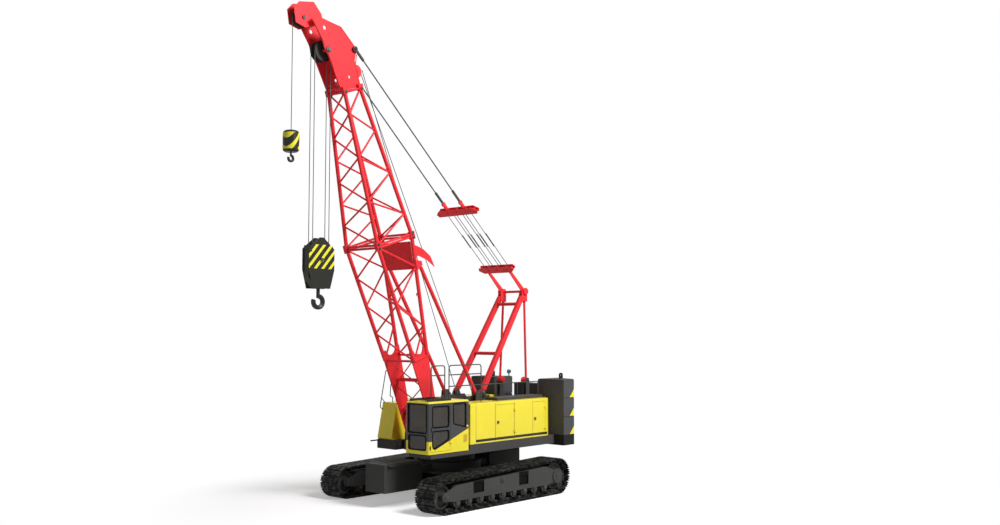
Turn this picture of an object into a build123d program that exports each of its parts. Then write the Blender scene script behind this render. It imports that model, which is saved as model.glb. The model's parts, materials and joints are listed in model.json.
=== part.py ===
from build123d import *
from math import acos, atan2, cos, degrees, hypot, radians, sin
import os

# A lattice boom crane on two tracks, with its boom raised.
# All sizes are in millimetres. X points forward, Y to the cab side and Z up.
# The shapes are drawn about the slewing axis and saved about the middle of the whole outline.

# Fits and gaps
PIN_FIT = 0.05
SEAT_GAP = 0.3
RUN_GAP = 9.0
HINGE_OFFSET = 20.0
HINGE_RADIUS = 14.0
HINGE_PIN_RADIUS = 8.0
HINGE_HALF = 30.0

# Tracks
TRACK_LENGTH = 6000.0
TRACK_OUTER_WIDTH = 5000.0
SHOE_WIDTH = 800.0
SHOE_PITCH = 212.0
SHOE_LENGTH = 178.0
SHOE_HEIGHT = 48.0
SHOE_BAND = 12.0
LINK_HEIGHT = 100.0
LINK_WIDTH = 420.0
REAR_WHEEL_RADIUS = 552.0
FRONT_WHEEL_RADIUS = 480.0
ROLLER_RADIUS = 140.0
ROLLER_COUNT = 9
FRAME_WIDTH = 650.0
FRAME_PLATE = 40.0
HUB_RADIUS = 230.0
FRAME_POCKETS = [(-1030.0, -660.0), (940.0, 1360.0)]
POCKET_BOTTOM = 480.0
POCKET_TOP = 740.0
POCKET_DEPTH = 25.0

# Car body and its weights
CAR_BODY_RADIUS = 1050.0
CAR_BODY_BOTTOM = 430.0
CAR_BODY_TOP = 1120.0
CROSS_BEAM_X = 1050.0
CROSS_BEAM_LENGTH = 520.0
CAR_WEIGHT_WIDTH = 820.0
CAR_WEIGHT_FRONT = 2980.0
CAR_WEIGHT_BOTTOM = 420.0
CAR_WEIGHT_TOP = 1240.0
CAR_WEIGHT_BACK = 1500.0
SLEW_RING_RADIUS = 860.0
SLEW_RING_BORE = 640.0

# Turning frame
DECK_BOTTOM = 1450.0
DECK_TOP = 1730.0
TAIL_FRONT = -3260.0
DECK_REAR = TAIL_FRONT
DECK_HALF_WIDTH = 1650.0
DECK_PLATE = 30.0
DECK_RAIL = 70.0
SPINE_Y = 540.0
SPINE_PLATE = 40.0
WINCH_FRAME_TOP = 3060.0
WINCH_Z = 2180.0
DRUM_SHAFT = 110.0
WINCHES = [(-420.0, 290.0), (-1300.0, 290.0), (-2250.0, 230.0)]

# Boom foot and the lines of the boom
FOOT_X = 1050.0
FOOT_Z = 2000.0
FOOT_PIN_RADIUS = 60.0
FOOT_PLATE_Y = 610.0
FOOT_PLATE = 50.0
FOOT_EAR = 40.0
FOOT_BOSS_RADIUS = 130.0
BOOM_ANGLE = 72.2
FOOT_SECTION_LENGTH = 6000.0
TOP_SECTION_LENGTH = 4520.0
SECTION_HALF = 690.0
PANEL_START = 5000.0
PANEL_END = 5830.0
PANEL_THICKNESS = 10.0
HORN_THICKNESS = 30.0
PLATE_NOTCH = 200.0
HEAD_HALF_WIDTH = 350.0
HEAD_HALF_DEPTH = 300.0
CHORD_RADIUS = 58.0
BRACE_RADIUS = 27.0
BATTEN_RADIUS = 35.0
SEAM_TURN = 30.0
LUG_HALF_WIDTH = 62.0
LUG_HALF_DEPTH = 80.0
LUG_LENGTH = 120.0
FOOT_PLATE_END = 2700.0
TOP_BAYS = 7
FOOT_BAYS = 4
HEAD_BASE = FOOT_SECTION_LENGTH + TOP_SECTION_LENGTH

# Boom head
HEAD_PLATE = 30.0
HEAD_PLATE_Y = 305.0
HEAD_TIE_S = HEAD_BASE + 630.0
HEAD_TIE_RADIUS = 80.0
NOSE_HALF_WIDTH = 150.0
MAIN_SHAFT_RADIUS = 50.0
AUX_SHAFT_RADIUS = 40.0
JIB_HOLE_S = HEAD_BASE + 1780.0
JIB_HOLE_N = -460.0
JIB_HOLE_RADIUS = 60.0
LIFT_HOLE_S = HEAD_BASE + 330.0
LIFT_HOLE_N = 30.0
LIFT_HOLE_RADIUS = 45.0
MAIN_SHEAVE_S = HEAD_BASE + 1170.0
MAIN_SHEAVE_N = -520.0
MAIN_SHEAVE_RADIUS = 270.0
MAIN_SHEAVE_Y = 90.0
AUX_SHEAVE_S = HEAD_BASE + 2140.0
AUX_SHEAVE_N = -970.0
AUX_SHEAVE_RADIUS = 250.0
GUARD_SHEAVE_S = HEAD_BASE + 480.0
GUARD_SHEAVE_N = 600.0
PENDANT_PIN_S = HEAD_BASE + 1080.0
PENDANT_PIN_N = 430.0
RIM_HEIGHT = 26.0
SHEAVE_WIDTH = 60.0
ROPE_RADIUS = 11.0

# Hooks
MAIN_BLOCK_TOP = 7400.0
MAIN_BLOCK_BOTTOM = 6790.0
MAIN_BLOCK_LENGTH = 880.0
MAIN_BLOCK_WIDTH = 310.0
MAIN_BLOCK_NECK = 6270.0
BLOCK_CHEEK = 45.0
MAIN_HOOK_BOTTOM = 5690.0
MAIN_HOOK_BOWL = 95.0
HOOK_LAND = 50.0
HOOK_SWEEP = 290.0
HOOK_TIP_TURN = -20.0
AUX_BALL_TOP = 10570.0
AUX_BALL_HEIGHT = 600.0
AUX_BALL_RADIUS = 225.0
AUX_BALL_CORNER = 90.0
AUX_HOOK_BOTTOM = 9690.0
AUX_HOOK_BOWL = 50.0

# Gantry, spreaders and stays
GANTRY_FOOT_X = -970.0
GANTRY_FOOT_Z = 3160.0
GANTRY_FOOT_Y = 560.0
GANTRY_TOP_X = -3130.0
GANTRY_TOP_Z = 6420.0
GANTRY_TOP_Y = 470.0
GANTRY_LEG_DEPTH = 170.0
GANTRY_EYE = 100.0
GANTRY_EYE_RADIUS = 75.0
GANTRY_CHEEK = 40.0
GANTRY_LEG_WIDTH = 110.0
LINK_X = -3120.0
LINK_EYE_Z = 3450.0
LINK_Y = 580.0
LINK_EYE = 90.0
LINK_RADIUS = 39.0
GANTRY_GAP = 60.0
GANTRY_PIN_RADIUS = 42.0
CLEVIS_EAR = 25.0
LOWER_SPREADER_AT = 1080.0
UPPER_SPREADER_AT = 3700.0
LOWER_SPREADER_HALF = 780.0
UPPER_SPREADER_HALF = 900.0
SPREADER_PITCH = 390.0
SPREADER_GAP = 96.0
SPREADER_PLATE = 24.0
SPREADER_SHEAVE_RADIUS = 120.0
LINE_REACH = 1600.0
LINE_OFFSET = 34.0
PENDANT_Y = 375.0
PENDANT_EYE = 60.0
PENDANT_PIN_RADIUS = 35.0
PENDANT_RADIUS = 20.0

# Backstops
BACKSTOP_X = -570.0
BACKSTOP_Z = 3140.0
BACKSTOP_Y = 680.0
BACKSTOP_S = FOOT_SECTION_LENGTH - 880.0
BACKSTOP_N = 740.0
BACKSTOP_RADIUS = 58.0
BACKSTOP_PIN_RADIUS = 30.0
BACKSTOP_EYE = 80.0
BACKSTOP_EAR = 30.0
EAR_REACH = 160.0

# Cab
CAB_REAR = 770.0
CAB_FRONT = 2450.0
CAB_INNER = 710.0
CAB_OUTER = DECK_HALF_WIDTH + 30.0
CAB_BOTTOM = 1580.0
CAB_TOP = 3070.0
CAB_WALL = 50.0
GLASS = 10.0
DOOR_REAR = 1570.0
DOOR_FRONT = 2370.0
SEAT_HEIGHT = 1960.0
DOOR_BOTTOM = 1640.0
DOOR_TOP = 2990.0
CAB_HINGES = [1900.0, 2750.0]

# Machine houses and the weight at the tail
HOUSE_REAR = -3130.0
HOUSE_FRONT = 700.0
HOUSE_INNER = 800.0
HOUSE_TOP = 2930.0
ENGINE_TOP = HOUSE_TOP - 280.0
HOUSE_WALL = 40.0
HOUSE_CORNER = 260.0
HOUSE_SILL = 90.0
HOUSE_HINGES = [2000.0, 2660.0]
HOUSE_DOORS = [(-1310.0, -420.0), (-2810.0, -2190.0)]
RAIL_RADIUS = 17.0
RAIL_Y = 1200.0
RAIL_TOP = 4070.0
MIDDLE_RAIL = 3790.0
LOW_RAIL = 3450.0
HOOPS = [(-250.0, 1150.0), (1330.0, 1890.0)]
WALK_REAR = -3050.0
WALK_FRONT = -850.0
WALK_HEIGHT = 90.0
CABINET_FRONT = 1450.0
CABINET_LEAN = 230.0
CABINET_INNER = 1000.0
TAIL_RADIUS = 4330.0
TAIL_HALF_WIDTH = 2060.0
TAIL_GAP_HALF = 980.0
TAIL_BOTTOM = 1400.0
TAIL_TOP = 3520.0
TAIL_SLAB_TOPS = [1740.0, 2330.0, 2930.0, TAIL_TOP]
TAIL_SEAM = 14.0
TAIL_BOX_REAR = -4220.0
TAIL_BOX_FRONT = -3800.0
TAIL_BOX_HALF = 540.0
TAIL_BOX_TOP = TAIL_TOP - 200.0
TAIL_LUG_X = -3800.0
TAIL_LUG_THICKNESS = 50.0
TAIL_LUG_HOLE = 40.0

# The outline of the whole crane runs from the tail to the hook at the front
AUX_ARM = hypot(AUX_SHEAVE_S, AUX_SHEAVE_N)
AUX_TURN = radians(BOOM_ANGLE) + atan2(AUX_SHEAVE_N, AUX_SHEAVE_S)
AUX_LINE_X = FOOT_X + AUX_ARM * cos(AUX_TURN) + AUX_SHEAVE_RADIUS + ROPE_RADIUS + SEAT_GAP
SLEW_X = (TAIL_RADIUS - AUX_LINE_X - AUX_BALL_RADIUS) / 2

TRACK_Y = (TRACK_OUTER_WIDTH - SHOE_WIDTH) / 2
BELT = SHOE_HEIGHT + LINK_HEIGHT
ON_FOOT = (Align.CENTER, Align.CENTER, Align.MIN)


def save(name, *shapes):
    """Moves a finished piece into the shared frame and writes it."""
    piece = Part() + [Pos(SLEW_X, 0, 0) * shape for shape in shapes]
    export_step(piece, "parts/" + name + ".step")


def save_apart(name, shapes):
    """Writes like pieces that don't touch as the solids of one node."""
    solids = [s for shape in shapes for s in (Pos(SLEW_X, 0, 0) * shape).solids()]
    export_step(Compound(children=solids), "parts/" + name + ".step")


def block(x0, x1, y0, y1, z0, z1):
    """A box between its six faces."""
    middle = Pos((x0 + x1) / 2, (y0 + y1) / 2, (z0 + z1) / 2)
    return middle * Box(abs(x1 - x0), abs(y1 - y0), abs(z1 - z0))


def side_plate(points, y0, y1):
    """A plate with its outline in the XZ plane, between two values of Y."""
    face = make_face(Polyline(*[(x, min(y0, y1), z) for x, z in points], close=True))
    return extrude(face, abs(y1 - y0), dir=(0, 1, 0))


def rod(start, end, radius, turn=0.0):
    """A round bar between two points, with its seam turned about its own axis."""
    axis = Vector(*end) - Vector(*start)
    return Plane(origin=start, z_dir=axis) * Rot(0, 0, turn) * Cylinder(radius, axis.length, align=ON_FOOT)


def cross_rod(x, z, y0, y1, radius):
    """A round bar along Y."""
    return rod((x, min(y0, y1), z), (x, max(y0, y1), z), radius)


def both_sides(shape):
    """A piece and its mirror image across the middle plane."""
    return [shape, mirror(shape, about=Plane.XZ)]


def fuse(shapes):
    """One solid out of pieces that run into each other."""
    return Part() + list(shapes)


def boom_point(s, n):
    """The X and Z of a point given along the boom and across it, towards its back."""
    a = radians(BOOM_ANGLE)
    return FOOT_X + s * cos(a) - n * sin(a), FOOT_Z + s * sin(a) + n * cos(a)


def on_boom(shape):
    """Raises a piece that is drawn on a level boom with its foot pin at the origin."""
    return Pos(FOOT_X, 0, FOOT_Z) * Rot(0, -BOOM_ANGLE, 0) * shape


MAIN_X, MAIN_Z = boom_point(MAIN_SHEAVE_S, MAIN_SHEAVE_N)
AUX_X, AUX_Z = boom_point(AUX_SHEAVE_S, AUX_SHEAVE_N)
PENDANT_X, PENDANT_Z = boom_point(PENDANT_PIN_S, PENDANT_PIN_N)
LINE_ANGLE = degrees(atan2(PENDANT_Z - GANTRY_TOP_Z, PENDANT_X - GANTRY_TOP_X))
LINE_LENGTH = hypot(PENDANT_Z - GANTRY_TOP_Z, PENDANT_X - GANTRY_TOP_X)


def on_line(shape):
    """Puts a piece on the straight line of stays, measured from the gantry's top pin."""
    return Pos(GANTRY_TOP_X, 0, GANTRY_TOP_Z) * Rot(0, -LINE_ANGLE, 0) * shape


# Tracks


def loop_wheels(inset):
    """Centres and radii of the two ends of the track loop, drawn in by an inset."""
    rear = (-TRACK_LENGTH / 2 + REAR_WHEEL_RADIUS, REAR_WHEEL_RADIUS)
    front = (TRACK_LENGTH / 2 - FRONT_WHEEL_RADIUS, FRONT_WHEEL_RADIUS)
    return rear, front, REAR_WHEEL_RADIUS - inset, FRONT_WHEEL_RADIUS - inset


def top_normal():
    """The angle of the normal of the sloping top run."""
    rear, front, r1, r2 = loop_wheels(0)
    slope = atan2(front[1] - rear[1], front[0] - rear[0])
    return slope + acos((r1 - r2) / hypot(front[0] - rear[0], front[1] - rear[1]))


def loop_face(inset):
    """The area inside the track loop in the XZ plane, drawn in by an inset."""
    rear, front, r1, r2 = loop_wheels(inset)
    a = top_normal()
    p1 = (rear[0], 0, rear[1] - r1)
    p2 = (front[0], 0, front[1] - r2)
    p3 = (front[0] + r2 * cos(a), 0, front[1] + r2 * sin(a))
    p4 = (rear[0] + r1 * cos(a), 0, rear[1] + r1 * sin(a))
    nose = ThreePointArc(p2, (front[0] + r2, 0, front[1]), p3)
    heel = ThreePointArc(p4, (rear[0] - r1, 0, rear[1]), p1)
    return make_face([Line(p1, p2), nose, Line(p3, p4), heel])


def shoe_places():
    """Point and outward angle of each shoe, evenly spaced round the loop."""
    rear, front, r1, r2 = loop_wheels(0)
    a = top_normal()
    bottom = front[0] - rear[0]
    nose = (a + radians(90)) * r2
    top = hypot(front[0] - rear[0], (front[1] + r2 * sin(a)) - (rear[1] + r1 * sin(a)))
    heel = (radians(270) - a) * r1
    total = bottom + nose + top + heel
    count = round(total / SHOE_PITCH)
    places = []
    for i in range(count):
        d = (i + 0.5) * total / count
        if d < bottom:
            places.append((rear[0] + d, 0.0, radians(-90)))
        elif d < bottom + nose:
            b = radians(-90) + (d - bottom) / r2
            places.append((front[0] + r2 * cos(b), front[1] + r2 * sin(b), b))
        elif d < bottom + nose + top:
            t = d - bottom - nose
            x = front[0] + r2 * cos(a) - t * sin(a)
            z = front[1] + r2 * sin(a) + t * cos(a)
            places.append((x, z, a))
        else:
            b = a + (d - bottom - nose - top) / r1
            places.append((rear[0] + r1 * cos(b), rear[1] + r1 * sin(b), b))
    return places


def track():
    """A closed belt of shoes on a narrower chain, about the middle plane of the track."""
    shoe = Rectangle(SHOE_LENGTH, SHOE_HEIGHT, align=(Align.CENTER, Align.MAX))
    flat = Plane(origin=(0, 0, 0), x_dir=(1, 0, 0), z_dir=(0, -1, 0))
    shoes = []
    for x, z, angle in shoe_places():
        shoes.append(flat * Pos(x, z) * Rot(0, 0, degrees(angle) - 90) * shoe)
    band = loop_face(SHOE_HEIGHT - SHOE_BAND) - loop_face(SHOE_HEIGHT + SHOE_BAND)
    outline = Sketch() + ([band] + shoes)
    belt = Pos(0, -SHOE_WIDTH / 2, 0) * extrude(outline, SHOE_WIDTH, dir=(0, 1, 0))
    ring = loop_face(SHOE_HEIGHT) - loop_face(BELT)
    chain = Pos(0, -LINK_WIDTH / 2, 0) * extrude(ring, LINK_WIDTH, dir=(0, 1, 0))
    return belt + chain


def roller_places():
    """X of each bottom roller, spread between the two wheels."""
    rear, front, r1, r2 = loop_wheels(BELT)
    first = rear[0] + r1 + ROLLER_RADIUS + 40
    last = front[0] - r2 - ROLLER_RADIUS - 40
    step = (last - first) / (ROLLER_COUNT - 1)
    return [first + i * step for i in range(ROLLER_COUNT)]


ROLLER_Z = BELT + ROLLER_RADIUS + SEAT_GAP


def side_frame():
    """The box beam inside a track, with plates that hold wheels and rollers."""
    rear, front, r1, r2 = loop_wheels(BELT)
    half = FRAME_WIDTH / 2
    low = ROLLER_Z + 45
    xs = roller_places()
    back = rear[0] + r1 + 45
    nose = front[0] - r2 - 45
    a = top_normal()
    rise = (cos(a) / sin(a))
    top_rear = rear[1] + r1 - 60
    top_front = top_rear - rise * (rear[0] - nose) * -1
    outline = [(rear[0] - 60, rear[1] - 120), (back, low - 10), (xs[0], low), (xs[-1], low)]
    outline += [(nose, low - 10), (front[0] + 60, front[1] - 100), (front[0] + 60, front[1] + 90)]
    outline += [(nose - 60, top_front), (back + 80, top_rear), (rear[0] - 60, rear[1] + 130)]
    plates = []
    for y in (-half, half - FRAME_PLATE):
        plate = side_plate(outline, y, y + FRAME_PLATE)
        lobes = [cross_rod(x, ROLLER_Z, y, y + FRAME_PLATE, 78) for x in xs]
        plates.append(plate + lobes)
    core_outline = [(back, low + 130), (nose, low + 130), (nose, top_front - 60), (nose - 60, top_front)]
    core_outline += [(back + 80, top_rear), (back, top_rear - 60)]
    core = side_plate(core_outline, -half + 10, half - 10)
    frame = plates[0] + plates[1] + core + hub_cap()
    for x0, x1 in FRAME_POCKETS:
        frame = frame - block(x0, x1, half - POCKET_DEPTH, half + 1, POCKET_BOTTOM, POCKET_TOP)
    return frame


def wheel(radius, web_radius):
    """A flanged wheel on its hub, between the plates of the side frame."""
    reach = FRAME_WIDTH / 2 - FRAME_PLATE
    rim = Cylinder(radius, LINK_WIDTH * 0.86, rotation=(90, 0, 0))
    hub = Cylinder(web_radius, 2 * reach, rotation=(90, 0, 0))
    dish = Cylinder(radius - 70, LINK_WIDTH * 0.2, rotation=(90, 0, 0))
    pocket = Pos(0, LINK_WIDTH * 0.43, 0) * dish
    return rim - pocket - mirror(pocket, about=Plane.XZ) + hub


def hub_cap():
    """The round cover of the final drive on the outer plate, at the rear wheel."""
    rear = loop_wheels(0)[0]
    cap = Pos(rear[0], FRAME_WIDTH / 2, rear[1]) * Rot(-90, 0, 0) * Cylinder(HUB_RADIUS, 45, align=ON_FOOT)
    return chamfer(cap.edges().sort_by(Axis.Y)[-1], 14)


def car_body():
    """The middle casting with two cross beams that reach the side frames."""
    tub = Pos(0, 0, CAR_BODY_BOTTOM) * Cylinder(CAR_BODY_RADIUS, CAR_BODY_TOP - CAR_BODY_BOTTOM, align=ON_FOOT)
    reach = TRACK_Y - FRAME_WIDTH / 2
    low = CAR_BODY_BOTTOM + 60
    high = CAR_BODY_TOP - 240
    beams = []
    for x in (-CROSS_BEAM_X, CROSS_BEAM_X):
        beams.append(block(x - CROSS_BEAM_LENGTH / 2, x + CROSS_BEAM_LENGTH / 2, -reach, reach, low, high))
    nose = block(-CAR_WEIGHT_BACK, CAR_WEIGHT_BACK, -330, 330, low, CAR_BODY_TOP - 60)
    return tub + beams + nose


def car_weights():
    """The two box weights ahead of and behind the car body."""
    half = CAR_WEIGHT_WIDTH / 2
    front = block(CAR_WEIGHT_BACK, CAR_WEIGHT_FRONT, -half, half, CAR_WEIGHT_BOTTOM, CAR_WEIGHT_TOP)
    front = fillet(front.edges().filter_by(Axis.Y), 30)
    ledge = block(CAR_WEIGHT_BACK + 60, CAR_WEIGHT_FRONT - 120, half, half + 90, CAR_WEIGHT_TOP - 60, CAR_WEIGHT_TOP - 20)
    front = front + ledge + mirror(ledge, about=Plane.XZ)
    return [front, mirror(front, about=Plane.YZ)]


def slew_ring():
    """The bearing ring bolted to the car body."""
    ring = Cylinder(SLEW_RING_RADIUS, DECK_BOTTOM - SEAT_GAP - CAR_BODY_TOP, align=ON_FOOT)
    bore = Cylinder(SLEW_RING_BORE, DECK_BOTTOM, align=ON_FOOT)
    return Pos(0, 0, CAR_BODY_TOP) * (ring - bore)


# Turning frame


def deck_plate():
    """The flat frame under the houses: a plate on rails, hollow from below."""
    front = HOUSE_FRONT + 20
    plan = [(DECK_REAR, -DECK_HALF_WIDTH), (CABINET_FRONT, -DECK_HALF_WIDTH), (CABINET_FRONT, -HOUSE_INNER)]
    plan += [(front, -HOUSE_INNER), (front, DECK_HALF_WIDTH), (DECK_REAR, DECK_HALF_WIDTH)]
    face = make_face(Polyline(*[(x, y, DECK_BOTTOM) for x, y in plan], close=True))
    slab = extrude(face, DECK_TOP - DECK_BOTTOM)
    inner = SPINE_Y + SPINE_PLATE + 60
    for x0, x1 in ((DECK_REAR + DECK_RAIL, -1600), (-1530, -60), (10, HOUSE_FRONT - DECK_RAIL)):
        bay = block(x0, x1, inner, DECK_HALF_WIDTH - DECK_RAIL, DECK_BOTTOM - 10, DECK_TOP - DECK_PLATE)
        slab = slab - bay - mirror(bay, about=Plane.XZ)
    return slab


def foot_ears():
    """The ears with the pins of the boom's foot, and the nose of the frame that carries them."""
    near = FOOT_PLATE_Y - FOOT_PLATE / 2 - RUN_GAP
    far = FOOT_PLATE_Y + FOOT_PLATE / 2 + RUN_GAP
    outline = [(FOOT_X - 330, DECK_BOTTOM), (FOOT_X - 330, DECK_TOP), (FOOT_X - 130, FOOT_Z + 20)]
    outline += [(FOOT_X - 60, FOOT_Z + 110), (FOOT_X + 60, FOOT_Z + 110), (FOOT_X + 120, FOOT_Z)]
    outline += [(FOOT_X + 150, DECK_BOTTOM + 60), (FOOT_X + 150, DECK_BOTTOM)]
    pieces = [side_plate(outline, near - FOOT_EAR, near), side_plate(outline, far, far + FOOT_EAR)]
    pieces.append(cross_rod(FOOT_X, FOOT_Z, near - 60, far + FOOT_EAR, FOOT_PIN_RADIUS))
    top = FOOT_Z - FOOT_BOSS_RADIUS - 40
    pieces.append(block(FOOT_X - 350, FOOT_X + 150, 0, far + FOOT_EAR, DECK_BOTTOM, top - 120))
    return fuse(pieces)


def deck():
    """The whole turning frame with the boom's foot pins and the shelf under the cab."""
    shelf = block(HOUSE_FRONT, CAB_FRONT - 120, CAB_INNER + 40, CAB_OUTER - 20, DECK_BOTTOM, CAB_BOTTOM)
    ears = both_sides(foot_ears())
    return fuse([deck_plate(), shelf] + ears)


def winch_frame():
    """A tall plate beside the drums, with the clevises of the gantry and of a backstop on it."""
    low = DECK_TOP
    outline = [(-2900, low), (0, low), (0, 2500), (-300, WINCH_FRAME_TOP)]
    outline += [(-1330, WINCH_FRAME_TOP), (-1700, 2500), (-2900, 2250)]
    plate = side_plate(outline, SPINE_Y - SPINE_PLATE / 2, SPINE_Y + SPINE_PLATE / 2)
    return both_sides(fuse([plate, gantry_clevis(), backstop_clevis()]))


def gantry_clevis():
    """The ears on top of the winch frame that hold a leg of the gantry."""
    half = GANTRY_EYE / 2
    x, y, z = GANTRY_FOOT_X, GANTRY_FOOT_Y, GANTRY_FOOT_Z
    outline = [(x - 130, WINCH_FRAME_TOP), (x + 130, WINCH_FRAME_TOP), (x + 70, z + 40), (x + 30, z + 90)]
    outline += [(x - 30, z + 90), (x - 70, z + 40)]
    near = side_plate(outline, y - half - CLEVIS_EAR, y - half)
    far = side_plate(outline, y + half, y + half + CLEVIS_EAR)
    top = z - GANTRY_EYE_RADIUS
    pad = block(x - 130, x + 130, y - half - CLEVIS_EAR, y + half + CLEVIS_EAR, WINCH_FRAME_TOP, top)
    return fuse([near, far, pad])


def backstop_clevis():
    """The ears beside the winch frame between which a backstop ends, open below."""
    half = BACKSTOP_RADIUS + RUN_GAP
    x, y, z = BACKSTOP_X, BACKSTOP_Y, BACKSTOP_Z
    low = z - 500
    outline = [(x - 190, low), (x + 130, low), (x + 70, z + 40), (x + 30, z + 90), (x - 50, z + 90), (x - 190, z - 60)]
    near = side_plate(outline, y - half - CLEVIS_EAR, y - half)
    far = side_plate(outline, y + half, y + half + CLEVIS_EAR)
    shelf = block(x - 190, x + 130, SPINE_Y + SPINE_PLATE / 2, y + half + CLEVIS_EAR, low, low + 100)
    return fuse([near, far, shelf])


def winch(x, z, barrel):
    """A rope drum between the plates of the winch frame, with its rope wound on."""
    reach = SPINE_Y - SPINE_PLATE / 2
    outline = [(0, -reach), (DRUM_SHAFT, -reach), (DRUM_SHAFT, -reach + 90), (barrel + 90, -reach + 90)]
    outline += [(barrel + 90, -reach + 120), (barrel, -reach + 120), (barrel, reach - 120)]
    outline += [(barrel + 90, reach - 120), (barrel + 90, reach - 90), (DRUM_SHAFT, reach - 90)]
    outline += [(DRUM_SHAFT, reach), (0, reach)]
    face = make_face(Polyline(*[(r, y, 0) for r, y in outline], close=True))
    return Pos(x, 0, z) * revolve(face, Axis.Y)


def hinge_seats(x, face, heights):
    """The fixed halves of a door's hinges on a wall facing +Y, each with its upright pin."""
    pieces = []
    y = face + HINGE_OFFSET
    for z in heights:
        low, top = z - HINGE_HALF - 20, z - HINGE_HALF - SEAT_GAP
        pieces.append(block(x - 60, x - 20, face, y + 12, low, top))
        pieces.append(block(x - 20, x, y - 12, y + 12, low, top))
        pieces.append(rod((x, y, low), (x, y, top), 12))
        pieces.append(rod((x, y, low), (x, y, z + HINGE_HALF + 6), HINGE_PIN_RADIUS))
    return pieces


def hinge_knuckles(x, face, heights):
    """The moving halves of a door's hinges, before their bores are cut."""
    pieces = []
    y = face + HINGE_OFFSET
    for z in heights:
        pieces.append(rod((x, y, z - HINGE_HALF), (x, y, z + HINGE_HALF), HINGE_RADIUS))
        pieces.append(block(x, x + 54, face, y + 6, z - HINGE_HALF, z + HINGE_HALF))
    return pieces


def hinge_bore(x, face):
    """The bore through all the knuckles of a door."""
    y = face + HINGE_OFFSET
    return rod((x, y, DECK_BOTTOM), (x, y, CAB_TOP), HINGE_PIN_RADIUS + PIN_FIT)


# Cab


def cab_shell():
    """The hollow cab with its windows and its doorway cut."""
    outer = block(CAB_REAR, CAB_FRONT, CAB_INNER, CAB_OUTER, CAB_BOTTOM, CAB_TOP)
    outer = fillet(outer.edges().filter_by(Axis.Z), 60)
    outer = fillet(outer.edges().group_by(Axis.Z)[-1], 50)
    w = CAB_WALL
    room = block(CAB_REAR + w, CAB_FRONT - w, CAB_INNER + w, CAB_OUTER - w, CAB_BOTTOM + w, CAB_TOP - w)
    shell = outer - room
    for cut in cab_windows(-1, w + 1):
        shell = shell - cut
    doorway = block(DOOR_REAR, DOOR_FRONT, CAB_OUTER - 2 * w, CAB_OUTER + w, DOOR_BOTTOM, DOOR_TOP)
    return shell - doorway


def cab_panels():
    """The panels of the cab by name: floor, roof, front, rear and the two sides."""
    shell = cab_shell()
    w, far = CAB_WALL, 100
    x0, x1, y0, y1 = CAB_REAR - far, CAB_FRONT + far, CAB_INNER - far, CAB_OUTER + far
    low, high = CAB_BOTTOM + w, CAB_TOP - w
    side = shell & block(CAB_REAR + w, CAB_FRONT - w, CAB_OUTER - w, y1, low, high)
    return {
        "cab_floor": shell & block(x0, x1, y0, y1, CAB_BOTTOM - far, low),
        "cab_roof": (shell & block(x0, x1, y0, y1, high, CAB_TOP + far)) + roof_guard(),
        "cab_front": shell & block(CAB_FRONT - w, x1, y0, y1, low, high),
        "cab_rear": shell & block(x0, CAB_REAR + w, y0, y1, low, high),
        "cab_left": side + hinge_seats(DOOR_REAR + RUN_GAP, CAB_OUTER, CAB_HINGES),
        "cab_right": shell & block(CAB_REAR + w, CAB_FRONT - w, y0, CAB_INNER + w, low, high),
    }


def cab_windows(start, end):
    """The windows as blocks that lie between two depths in from the outer faces."""
    y0, y1 = CAB_INNER + 120, CAB_OUTER - 90
    x0, x1 = CAB_FRONT - end, CAB_FRONT - start
    rear_x = (CAB_REAR + start, CAB_REAR + end)
    inner_y = (CAB_INNER + start, CAB_INNER + end)
    outer_y = (CAB_OUTER - end, CAB_OUTER - start)
    quarter = [(CAB_REAR + 150, 2270), (DOOR_REAR - 120, 2400), (DOOR_REAR - 120, 2980), (CAB_REAR + 150, 2980)]
    side = [(CAB_REAR + 180, 2250), (CAB_FRONT - 170, 2250), (CAB_FRONT - 170, 2960), (CAB_REAR + 180, 2960)]
    return [
        block(x0, x1, y0, y1, 2180, 3000),
        block(x0, x1, y0 + 20, y1 - 20, 1700, 2110),
        side_plate(quarter, *outer_y),
        side_plate(side, *inner_y),
        block(*rear_x, y0 + 60, y1 - 60, 2350, 2900),
        block(CAB_REAR + 900, CAB_FRONT - 220, y0 + 60, y1 - 60, CAB_TOP - end, CAB_TOP - start),
    ]


def door_windows(start, end):
    """The two windows of the door between two depths in from its outer face."""
    x0, x1 = DOOR_REAR + 60, DOOR_FRONT - 70
    y0, y1 = CAB_OUTER - end, CAB_OUTER - start
    upper = side_plate([(x0, 2330), (x1, 2330), (x1, 2930), (x0, 2930)], y0, y1)
    lower = side_plate([(x0, 1960), (x1 - 60, 1720), (x1, 1800), (x1, 2230), (x0, 2230)], y0, y1)
    return [upper, lower]


def cab_door():
    """The door, as thick as the wall, with its two windows and a pull handle."""
    g = RUN_GAP
    door = block(DOOR_REAR + g, DOOR_FRONT - g, CAB_OUTER - CAB_WALL, CAB_OUTER, DOOR_BOTTOM + g, DOOR_TOP - g)
    for cut in door_windows(-1, CAB_WALL + 1):
        door = door - cut
    handle = block(DOOR_FRONT - 62, DOOR_FRONT - 26, CAB_OUTER, CAB_OUTER + 30, 2230, 2340)
    x = DOOR_REAR + g
    return fuse([door, handle] + hinge_knuckles(x, CAB_OUTER, CAB_HINGES)) - hinge_bore(x, CAB_OUTER)


def roof_guard():
    """The guard over the roof window, a frame with bars."""
    x0, x1 = CAB_REAR + 640, CAB_FRONT - 60
    y0, y1 = CAB_INNER + 110, CAB_OUTER - 130
    rails = [block(x0, x1, y, y + 30, CAB_TOP, CAB_TOP + 70) for y in (y0, y1 - 30)]
    step = (x1 - x0 - 30) / 5
    bars = [block(x0 + i * step, x0 + i * step + 30, y0, y1, CAB_TOP + 40, CAB_TOP + 70) for i in range(6)]
    return fuse(rails + bars)


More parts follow.
